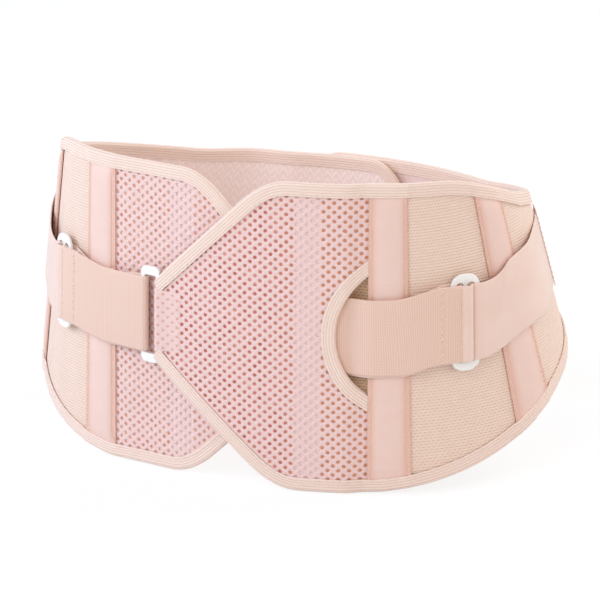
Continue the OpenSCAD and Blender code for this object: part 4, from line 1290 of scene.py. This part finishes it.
def strap_route(c, hub, o):
    """Places [way round, out] from the sewn end through the slider, round the ring and back."""
    s = STRAP_T / 2
    w, r, m = CHAN_A + 0.5, RING_T / 2 + 0.6 + s, SLIDER_T / 2 + 0.55 + s
    far, low, x = SLIDER_O + SLIDER_T / 2 + 0.7 + s, BASE + ELASTIC_T + GAP + s, SLIDER_O
    near, u2, o2 = far + STRAP_T + 0.2, o - r, o + r
    o3 = max(o2, UNDER_O + 1.4)
    foot, rise = max(MOUTH - 9, hub + 1.5), max(MOUTH - 6, hub + 6)
    half_turn = np.radians(np.arange(0, 181, 22.5))
    climb = STRAP_END - SEWN - B_OUT - 8
    lead = run(STRAP_END, B_OUT + 4, 4.5,
               lambda a: mix(low + 0.1, LEAD_O, ease((STRAP_END - SEWN - a) / climb)))
    lead += run(B_OUT, max(CHAN_B, c + 18), 5, lambda a: LEAD_O)
    dive = [(c + 14, 7.2), (c + 10.5, far - 0.1), (c + 7, far), (c + 5.8, far - 0.2), (c + 4.7, x + 1.1),
            (c + 4.1, x - 0.2), (c + 3.6, x - 1.6), (c + 3, low + 0.4), (c + 1.5, low), (c - 4, low),
            (c - 9, low + 0.25), (A_OUT + (c - A_OUT) * 0.3, UNDER_O - 0.7)]
    under = run(A_OUT, w, 8, lambda a: UNDER_O)
    full = w - max(0, u2)
    under += run(w - 6, foot, 6, lambda a: mix(u2, UNDER_O, (a - foot) / (full - foot))) + [(hub + 1, u2)]
    fold = [(hub - 0.2 - r * math.sin(f), o - r * math.cos(f)) for f in half_turn] + [(hub + 3, o2)]
    over = run(rise, w - 6, 3, lambda a: mix(o2, o3, max(0, (a - MOUTH) / (w - MOUTH)))) + [(w, o3)]
    over += run(w + 8, c - 18, 9, lambda a: mix(o3, near - 0.9, (a - w) / (c - 18 - w)))
    loop = [(c - 9, near), (c - 6.5, near), (c - 4.6, near - 0.15), (c - 3.6, near - 0.5),
            (c - 3, near - 0.45), (c - 2.2, near + 0.1), (c - 1, near + 0.7), (c + 0.8, near + PUFF),
            (c + 2.3, near + 0.6), (c + 3.1, near - 0.4), (c + 3.1, x + 1.2), (c + 2.7, x - 0.6),
            (c + 1.8, x - m + 0.2), (c + 0.6, x - m), (c - 0.8, x - m), (c - 1.9, x - m + 0.4),
            (c - 2.3, x - 0.6), (c - 2.5, x + 0.4), (c - 3.2, far - 0.9), (c - 4.4, far - 0.5),
            (c - 6, far - 0.2), (c - 9, far), (c - 16.5, far - 0.9)]
    return np.array(lead + dive + under + fold + over + loop)


print("places on the right route:", len(strap_route(SLIDERS["right"], HUBS["right"], INNER_O)))

# %% Directions along a strap
def cut_corners(route, times=2):
    """Replaces each corner by two points, a quarter of the way along its two sides."""
    for _ in range(times):
        ahead, behind = mix(route[:-1], route[1:], 0.25), mix(route[:-1], route[1:], 0.75)
        middle = np.stack([ahead, behind], 1).reshape(-1, 2)
        route = np.concatenate([route[:1], middle, route[-1:]])
    return route


def unit(v):
    return v / np.linalg.norm(v, axis=-1, keepdims=True)


def strap_across(u):
    """Direction across a strap at u, in space: square to its run and in the belt's face."""
    z = strap_mid(u)
    up = pt(u, z + 5, 0) - pt(u, z - 5, 0)
    way = unit(pt(u + 1, strap_mid(u + 1), 0) - pt(u - 1, strap_mid(u - 1), 0))
    out = unit(np.cross(unit(pt(u + 0.5, z, 0) - pt(u - 0.5, z, 0)), up))
    return np.cross(out, way)


def held_mid(u, c):
    """Middle height of a strap that stays level while it passes the slider at c."""
    a = np.abs(u)
    return mix(strap_mid(c), strap_mid(a), ease((np.abs(a - c) - SLIDER_W / 2) / HOLD))


def near_slider(u, c):
    """The strap stands as upright as the slider where it passes through it."""
    at, z = np.sign(u) * c, strap_mid(c)
    level = unit(pt(at + 0.5, z, 0) - pt(at - 0.5, z, 0))
    at_slider = np.cross(unit(np.cross(level, pt(at, z + 5, 0) - pt(at, z - 5, 0))), level)
    return unit(mix(at_slider, strap_across(u), ease((np.abs(np.abs(u) - c) - SLIDER_W) / HOLD)[:, None]))


for side, o in (("right", INNER_O), ("left", OUTER_O)):
    leg = np.diff(strap_route(SLIDERS[side], HUBS[side], o), axis=0)
    print(side, "strap:", round(float(np.linalg.norm(leg, axis=1).sum())), "mm long")

# %% [markdown]
# ## Bands
# A strap turns back on itself at the ring and the slider, so it can't be laid on the form as the flat
# pieces are. A band takes its direction from the route at each place, and gets its thickness to both
# sides of it.

# %% A band along a route
BAND_COLUMNS = np.array((-1, -0.985, -0.94, -0.6, -0.2, 0.2, 0.6, 0.94, 0.985, 1))
BAND_SWELL = np.array((0.25, 0.7, 1, 1, 1, 1, 1, 1, 0.7, 0.25))


def band_grid(route, sign, thick, mid, half, across, columns=BAND_COLUMNS, swell=BAND_SWELL):
    """Points of a band's two faces along a route of [way round, out]."""
    u, o = sign * route[:, 0], route[:, 1]
    way = unit(np.gradient(np.stack([u, o], 1), axis=0))
    e = np.stack([-way[:, 1], way[:, 0]], 1) * thick / 2
    z, w = mid(u), (half * across)[:, None, :] * columns[:, None]
    middle = pt(u, z, o)[:, None]
    one = pt(u + e[:, 0], z, o + e[:, 1])[:, None] - middle
    two = pt(u - e[:, 0], z, o - e[:, 1])[:, None] - middle
    full = swell[:, None]
    return middle + one * full + w, middle + two * full + w


def band(name, faces_two, finishes, columns=BAND_COLUMNS):
    """A closed band from one or more stretches. Each stretch is a pair of face grids."""
    points, faces, lay_at, sides, total = [], [], [], [], 0.0
    count = 0
    for one, two in faces_two:
        n, m = one.shape[:2]
        ring = np.concatenate([one, two[:, ::-1]], 1)
        k = ring.shape[1]
        at = np.arange(n * k).reshape(n, k) + count
        side = np.zeros((n - 1, k), int)
        side[:, m:2 * m - 1] = len(finishes) - 1
        faces += around(at).tolist()
        sides += side.reshape(-1).tolist()
        for end in (0, n - 1):
            for i in range(m - 1):
                faces.append([at[end, i], at[end, i + 1], at[end, k - 2 - i], at[end, k - 1 - i]])
                sides.append(0)
        leg = np.diff(one.mean(1) + two.mean(1), axis=0) / 2
        along = np.concatenate([[0], np.cumsum(np.linalg.norm(leg, axis=1))])
        y = np.concatenate([columns, columns[::-1]]) * STRAP_W / 2
        lay_at.append(np.stack(np.broadcast_arrays(along[:, None], y), -1).reshape(-1, 2))
        points.append(ring.reshape(-1, 3))
        count += n * k
        total += along[-1]
    made = piece(name, np.concatenate(points), faces, np.concatenate(lay_at), finishes, sides)
    made["length_mm"] = float(total)
    return made


def strap_faces(route, sign, c, hub, thick=STRAP_T, wide=STRAP_W):
    """The two faces of a strap along its route. The run that goes out hangs a little lower than the
    one that comes back over it."""
    a = route[:, 0]
    across = near_slider(sign * a, c)
    going = np.arange(len(a)) < np.argmin(a)
    sag = UNDER_SAG * going * ease((a - hub - 4) / 20) * ease((c - 12 - a) / 12)
    one, two = band_grid(route, sign, thick, lambda u: held_mid(u, c) - sag, wide / 2, across)
    return (two, one) if sign > 0 else (one, two)


print("points across a strap:", len(BAND_COLUMNS))

# %% [markdown]
# ## Stretches that follow the joints
# The belt, the flap, the slider and the ring each carry a strap in their own way. So a strap is cut into
# stretches that meet end to end, and each one rides one body or names the two that it lies between.
# The right strap also goes through the slot of the outer flap, which moves against it: the part in the
# slot rides the outer flap, and a thinner fold slides inside that part.

# %% Stretches of the straps
LOOSE, TAIL, MIDDLE, FOLD_AT = 219.0, 189.0, 159.0, 82.0
CHAIN_AT = (106.0, 94.0)
RAMP_END, FOLD_END = 59.5, 64.0
FOLD_T, FOLD_W = 0.7, 44.0
# A cut stays whole when the bend begins and ends a little inside it, more where the strap slopes.
CUT_ROOM, TAIL_ROOM, SLIDER_ROOM, RING_ROOM = 2.0, 10.0, 3.0, 2.0
FOLD_BEND = {"right": 11.0, "left": 18.0}
sewn_lines = {}
for side, sign, o in (("right", 1, INNER_O), ("left", -1, OUTER_O)):
    c, hub = SLIDERS[side], HUBS[side]
    flap = "inner_flap" if sign > 0 else "outer_flap"
    slider, ring_body = f"slider_{side}", f"ring_{side}"
    route = cut_corners(strap_route(c, hub, o))
    one, two = strap_faces(route, sign, c, hub)
    turn = int(np.argmin(route[:, 0]))
    going, coming = route[:turn, 0], route[turn:, 0]
    near = c - 13

    def stretch(a, b):
        return one[a:b + 1], two[a:b + 1]

    def out_at(u):
        return int(np.argmax(going < u))

    def back_at(u):
        return turn + int(np.argmax(coming > u))

    def runs(a, b):
        """Both runs of the strap between two places: the one going out and the one coming back."""
        return [stretch(out_at(a), out_at(b)), stretch(back_at(b), back_at(a))]

    def spot(u):
        """A place along the middle of the strap, in metres."""
        return pt(sign * u, float(strap_mid(u)), 5) * MM

    def level(u):
        """A place at the height of the slot. An upright cut bends evenly between two of them."""
        return pt(sign * u, STRAP_Z, 5) * MM

    tube = back_at(c - 3.2)
    plan = [("tail", [stretch(0, out_at(TAIL))], "belt", (flap, spot(LOOSE), spot(TAIL + CUT_ROOM / 2))),
            ("middle", [stretch(out_at(TAIL), out_at(MIDDLE))], flap,
             (slider, level(TAIL - TAIL_ROOM), level(MIDDLE + SLIDER_ROOM))),
            ("buckle", [stretch(out_at(MIDDLE), out_at(near)), stretch(back_at(near), tube)], slider, None),
            ("tube", [stretch(tube, len(route) - 1)], slider, None)]
    if sign < 0:
        plan.append(("runs", runs(near, FOLD_AT), slider,
                     (flap, level(near - CUT_ROOM), level(FOLD_AT + CUT_ROOM))))
        plan.append(("fold", [stretch(out_at(FOLD_AT), back_at(FOLD_AT))], flap,
                     (ring_body, level(hub + FOLD_BEND[side]), level(hub + RING_ROOM))))
    else:
        places = (near, *CHAIN_AT, FOLD_AT)
        bodies = (slider, "inner_flap", "belt", "outer_flap")
        for k, part in enumerate(("runs", "cross", "enter")):
            a, b = places[k:k + 2]
            plan.append((part, runs(a, b), bodies[k],
                         (bodies[k + 1], level(a - CUT_ROOM), level(b + CUT_ROOM))))
        plan.append(("ramp", runs(FOLD_AT, RAMP_END), "outer_flap", None))
        inner_one, inner_two = strap_faces(route, sign, c, hub, FOLD_T, FOLD_W)
        a, b = out_at(FOLD_END), back_at(FOLD_END)
        plan.append(("fold", [(inner_one[a:b + 1], inner_two[a:b + 1])], flap,
                     (ring_body, level(hub + FOLD_BEND[side]), level(hub + RING_ROOM))))
    for part, parts, body, bend in plan:
        made = band(f"strap_{side}_{part}", parts, [webbing, webbing if part == "tube" else webbing_back])
        dress(made, body, [f"strap_{side}"] if part == "buckle" else [],
              bend=bend)
    for part, u in (("zigzag", c - 15), ("bar_seam", c - 3.3)):
        k = turn + int(np.argmax(coming > u))
        sewn_lines[f"strap_{side}_{part}"] = two[k], unit(two[k] - one[k]), slider
    print(side, "strap in", len(plan), "stretches")

# %% [markdown]
# ## Hems
# At each flap's tip the mesh is folded round the ring's bar and sewn down. Two layers of knit lie on
# each other there, so its holes are only shallow pits, whose bottoms get a darker tan as painted shade.
# A fine band is bent round the bar and pressed in at each pit.

# %% Hems
HEM_H, HEM_DEEP, HEM_FRONT, TIP_Z = 39.0, 14.0, 12.0, 92.0
HEM_R, HEM_T = 2.25, 0.7
PIT_DEEP = 0.32
HEM_COLUMNS = np.linspace(-1, 1, 61)


def knit_pits(u, z):
    """1 in the middle of each hole of the knit, 0 between the holes."""
    i = np.rint(u / CELL_U)
    j = np.rint(z / CELL_Z - i % 2 / 2)
    off = np.hypot((u - i * CELL_U) / HOLE_U, (z - (j + i % 2 / 2) * CELL_Z) / HOLE_Z)
    return 1 - ease((off - 0.25) / 0.85)


def even_route(route, size):
    """The same route with its places a fixed distance apart, and the way along it."""
    way = np.concatenate([[0], np.cumsum(np.linalg.norm(np.diff(route, axis=0), axis=1))])
    along = steps(0, way[-1], size)
    return np.stack([np.interp(along, way, route[:, k]) for k in (0, 1)], 1), along


def hem_route(tip, o):
    """Places from the front of the flap round the ring's bar to the back of the flap."""
    hub = tip + RING_FROM_TIP
    ahead, behind = o + MESH_T / 2 + 0.12 - HEM_T / 2, o - MESH_T / 2 - 0.1 - HEM_T / 2
    bow = np.radians(np.arange(290, 69, -10))
    route = [(tip - HEM_FRONT, ahead), (tip - 8, ahead), (tip - 5, ahead + 0.05),
             (tip - 2.5, ahead + 0.3), (tip - 0.5, ahead + 0.8)]
    route += [(hub - HEM_R * math.cos(f), o - HEM_R * math.sin(f)) for f in bow]
    route += [(tip - 0.5, behind - 0.1), (tip - 4, behind), (tip - 8, behind), (tip - HEM_DEEP, behind)]
    return even_route(cut_corners(np.array(route)), 0.6)


for side, sign, tip, o in (("outer", -1, OUTER_TIP, OUTER_O), ("inner", 1, INNER_TIP, INNER_O)):
    route, along = hem_route(tip, o)
    at = sign * tip
    level = unit(pt(at + 0.5, TIP_Z, 0) - pt(at - 0.5, TIP_Z, 0))
    upright = np.cross(unit(np.cross(level, pt(at, TIP_Z + 5, 0) - pt(at, TIP_Z - 5, 0))), level)
    hidden = ease((tip + 0.6 - route[:, 0]) / 0.8) * (route[:, 1] < o)
    wide = HEM_H / 2 - 0.5 - 1.0 * ease((tip - route[:, 0]) / 2) - 1.5 * hidden
    swell = np.minimum(1, 0.4 + 12 * (1 - np.abs(HEM_COLUMNS)))
    one, two = band_grid(route, sign, HEM_T, lambda u: TIP_Z + 0 * u, wide[:, None],
                         np.tile(upright, (len(route), 1)), HEM_COLUMNS, swell)
    pits = knit_pits(sign * (tip - HEM_FRONT + along)[:, None], TIP_Z + wide[:, None] * HEM_COLUMNS)
    dent = (pits * PIT_DEEP / HEM_T)[..., None]
    if sign < 0:
        two = mix(two, one, dent)
        marks = np.concatenate([0 * pits, pits[:, ::-1]], 1)
    else:
        one = mix(one, two, dent)
        marks = np.concatenate([pits, 0 * pits], 1)
    made = band(f"{side}_hem_fold", [(one, two)], [knit_face], columns=HEM_COLUMNS)
    # The pit marks darken the knit in each shallow hole: painted shade.
    shade = made.data.attributes.new("pit", "FLOAT", "POINT")
    shade.data.foreach_set("value", marks.ravel().astype(np.float32))
    area = float((np.diff(along) * (wide[1:] + wide[:-1])).sum())
    dress(made, f"{side}_flap", [f"{side}_hem"],
          area)
    z = TIP_Z + np.linspace(-1, 1, 20) * (HEM_H / 2 - 2)
    seams[f"{side}_hem"] = pt(sign * (tip - HEM_FRONT + 0.8), z,
                              o + MESH_T / 2 + 0.12), f"{side}_flap", None
    print(side, "hem:", len(made.data.polygons), "faces")

# %% [markdown]
# ## Strap tabs
# The cut end of a strap would fray, so a short tab of the same webbing is sewn over it at the back.

# %% Strap tabs
TAB_IN, TAB_OUT, TAB_T = 8.0, 5.0, 0.5
for side, sign in HALVES:
    us = both(sign, steps(STRAP_END - TAB_IN, STRAP_END + TAB_OUT, 1.6))
    lo = BASE + ELASTIC_T + GAP + STRAP_T + 0.2
    z = rows(strap_mid(us) - STRAP_W / 2 - 1, strap_mid(us) + STRAP_W / 2, 24)
    made = slab(f"strap_tab_{side}_tape", us[:, None], z, lo + TAB_T, lo, [webbing])
    k = 1 if sign > 0 else -2
    seams[f"strap_tab_{side}"] = pt(us[k], z[k], lo + TAB_T), "belt", None
    dress(made, "belt", [f"strap_tab_{side}"])
print("2 tabs")

# %% [markdown]
# ## Stitches
# Thread is what holds the belt together, and its short dashes catch the light along every tape and
# channel. Each stitch is a small lens of thread, pulled a little into the cloth at both ends. The
# straps are sewn with a zigzag, which can stretch with them.

# %% Thread finish and stitches
# The stitches and the thread are guesses, kept large enough to show in the render.
STITCH, STITCH_GAP, THREAD, STRAP_THREAD = 2.3, 0.9, 0.32, 0.45
TWIST = 0.5
STITCH_POINTS = 12

# Twisted polyester has a slight lustre, and close up its twist shows as slanting lines.
thread, tree = new_material("polyester_sewing_thread")
lay = node(tree, "ShaderNodeUVMap", uv_map="lay")
twist = node(tree, "ShaderNodeTexWave", {"Vector": lay.outputs[0], "Scale": math.pi / 10 / TWIST},
             bands_direction="DIAGONAL")
tone = node(tree, "ShaderNodeMix", {"Factor": twist.outputs[1], "A": colour("#E3BDA9"),
                                    "B": colour("#F3DACB")},
            data_type="RGBA")
close_material(tree, Base_Color=tone.outputs[2], Roughness=0.5, Sheen_Weight=0.3)


def outward(points):
    """Directions out from the belt's form at points in space."""
    centre = np.array((0, SHIFT_Y + c2[0, 1], 0))
    return unit((points - centre) * (1, 1, 0))


def stitch_row(name, points, normals, zigzag=0.0, thick=THREAD):
    """Stitches along a line on the cloth. A zigzag swings from side to side and leaves no gaps."""
    way = np.concatenate([[0], np.cumsum(np.linalg.norm(np.diff(points, axis=0), axis=1))])
    gap = 0 if zigzag else STITCH_GAP
    starts = np.arange(gap, way[-1] - STITCH, STITCH + gap)

    def place(x, values):
        return np.stack([np.interp(x, way, values[:, k]) for k in range(3)], 1)

    a, b, up = place(starts, points), place(starts + STITCH, points), place(starts + STITCH / 2, normals)
    side = unit(np.cross(b - a, up))
    swing = (zigzag * np.where(np.arange(len(starts)) % 2, 1, -1))[:, None] * side
    a, b = a + swing, b - swing
    side = unit(np.cross(b - a, up))
    rings = []
    for t, size in ((0, 0.35), (0.5, 1.0), (1, 0.35)):
        middle = mix(a, b, t) + up * thick * (size - 0.6)
        for s, h in ((1, 0), (0, 1), (-1, 0), (0, -1)):
            rings.append(middle + (side * s + up * h) * thick * size)
    spots = np.stack(rings, 1)
    k = np.arange(4)
    turn = (k + 1) % 4
    one = [np.stack([k + r, turn + r, turn + r + 4, k + r + 4], 1) for r in (0, 4)]
    one = np.concatenate(one + [np.array([[0, 1, 2, 3], [8, 9, 10, 11]])])
    faces = (one[None] + STITCH_POINTS * np.arange(len(starts))[:, None, None]).reshape(-1, 4)
    lay_at = np.stack([np.repeat(starts, STITCH_POINTS) + np.tile(np.repeat((0, 1, 2), 4), len(starts)),
                       np.tile(np.tile(k, 3), len(starts)) * 0.3], 1)
    return piece(name, spots.reshape(-1, 3), faces, lay_at, [thread])


count = 0
for name, (line, body, bend) in seams.items():
    slot_name = "mesh" if "hem" in name else "binding"
    if "channel" in name or "tab" in name:
        slot_name = "channel"
    made = stitch_row(name + "_stitches", line, outward(line))
    dress(made, body, [], bend=bend)
    count += len(made.data.vertices) // STITCH_POINTS
for name, line, body in linings:
    made = stitch_row(name + "_stitches", line, -outward(line))
    dress(made, body, [])
    count += len(made.data.vertices) // STITCH_POINTS
for name, (line, normals, body) in sewn_lines.items():
    made = stitch_row(name, line, normals, 1.0 if "zigzag" in name else 0.3, STRAP_THREAD)
    dress(made, body, [])
    count += len(made.data.vertices) // STITCH_POINTS
print(count, "stitches in", len(seams) + len(linings) + len(sewn_lines), "rows")

# %% [markdown]
# ## Plastic rings and sliders
# The rings and sliders are moulded in white acetal, a hard plastic with a soft gloss. The frame has
# their true outlines with sharp edges. A copy of each solid gets rounded edges, as a mould gives them.

# %% Plastic finish and rounded edges
EDGE_ROUND = 0.00045
FLOW, STAY_FLOW = 6.0, 9.0

# Moulded acetal takes the mould's polish: smooth, white and softly glossy, with faint flow marks.
acetal, tree = new_material("moulded_white_acetal")
place = node(tree, "ShaderNodeTexCoord")
flow = node(tree, "ShaderNodeTexNoise", {"Vector": place.outputs["Object"], "Scale": 1 / (FLOW * MM),
                                         "Detail": 3.0})
tone = node(tree, "ShaderNodeMix", {"Factor": flow.outputs[0], "A": colour("#F3F3F0"),
                                    "B": colour("#FBFBF9")},
            data_type="RGBA")
gloss = node(tree, "ShaderNodeMapRange", {"Value": flow.outputs[0], "To Min": 0.22, "To Max": 0.36})
close_material(tree, Base_Color=tone.outputs[2], Roughness=gloss.outputs[0], IOR=1.48)

for name in ("ring_left", "ring_right", "slider_left", "slider_right"):
    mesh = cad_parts[name].data.copy()
    mesh.name = name + "_moulding"
    shape = bmesh.new()
    shape.from_mesh(mesh)
    bmesh.ops.remove_doubles(shape, verts=shape.verts, dist=1e-6)
    bmesh.ops.dissolve_limit(shape, angle_limit=math.radians(1), verts=shape.verts, edges=shape.edges)
    sharp = [e for e in shape.edges if e.is_manifold and e.calc_face_angle() > math.radians(50)]
    bmesh.ops.bevel(shape, geom=sharp, offset=EDGE_ROUND, segments=4, profile=0.5, affect="EDGES",
                    clamp_overlap=True)
    shape.to_mesh(mesh)
    shape.free()
    mesh.shade_smooth()
    mesh.set_sharp_from_angle(angle=math.radians(40))
    mesh.materials.clear()
    mesh.materials.append(acetal)
    made = bpy.data.objects.new(name + "_moulding", mesh)
    bpy.context.scene.collection.objects.link(made)
    dress(made, name, [name])
    print(made.name, len(mesh.polygons), "faces")

# %% [markdown]
# ## Stays
# The stays are hidden in their channels, so the frame's own solids stay and only get their finish.

# %% Stays inside the channels
# Extruded nylon is milky white and half matt.
spring, tree = new_material("nylon_stay")
place = node(tree, "ShaderNodeTexCoord")
flow = node(tree, "ShaderNodeTexNoise", {"Vector": place.outputs["Object"], "Scale": 1 / (STAY_FLOW * MM),
                                         "Detail": 2.0})
tone = node(tree, "ShaderNodeMix", {"Factor": flow.outputs[0], "A": colour("#E9E9E2"),
                                    "B": colour("#F6F6F2")},
            data_type="RGBA")
close_material(tree, Base_Color=tone.outputs[2], Roughness=0.4)
for name in ("outer_stay", "inner_stay", "side_stay_left", "side_stay_right"):
    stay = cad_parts[name]
    stay.data.materials.clear()
    stay.data.materials.append(spring)
print("4 stays")
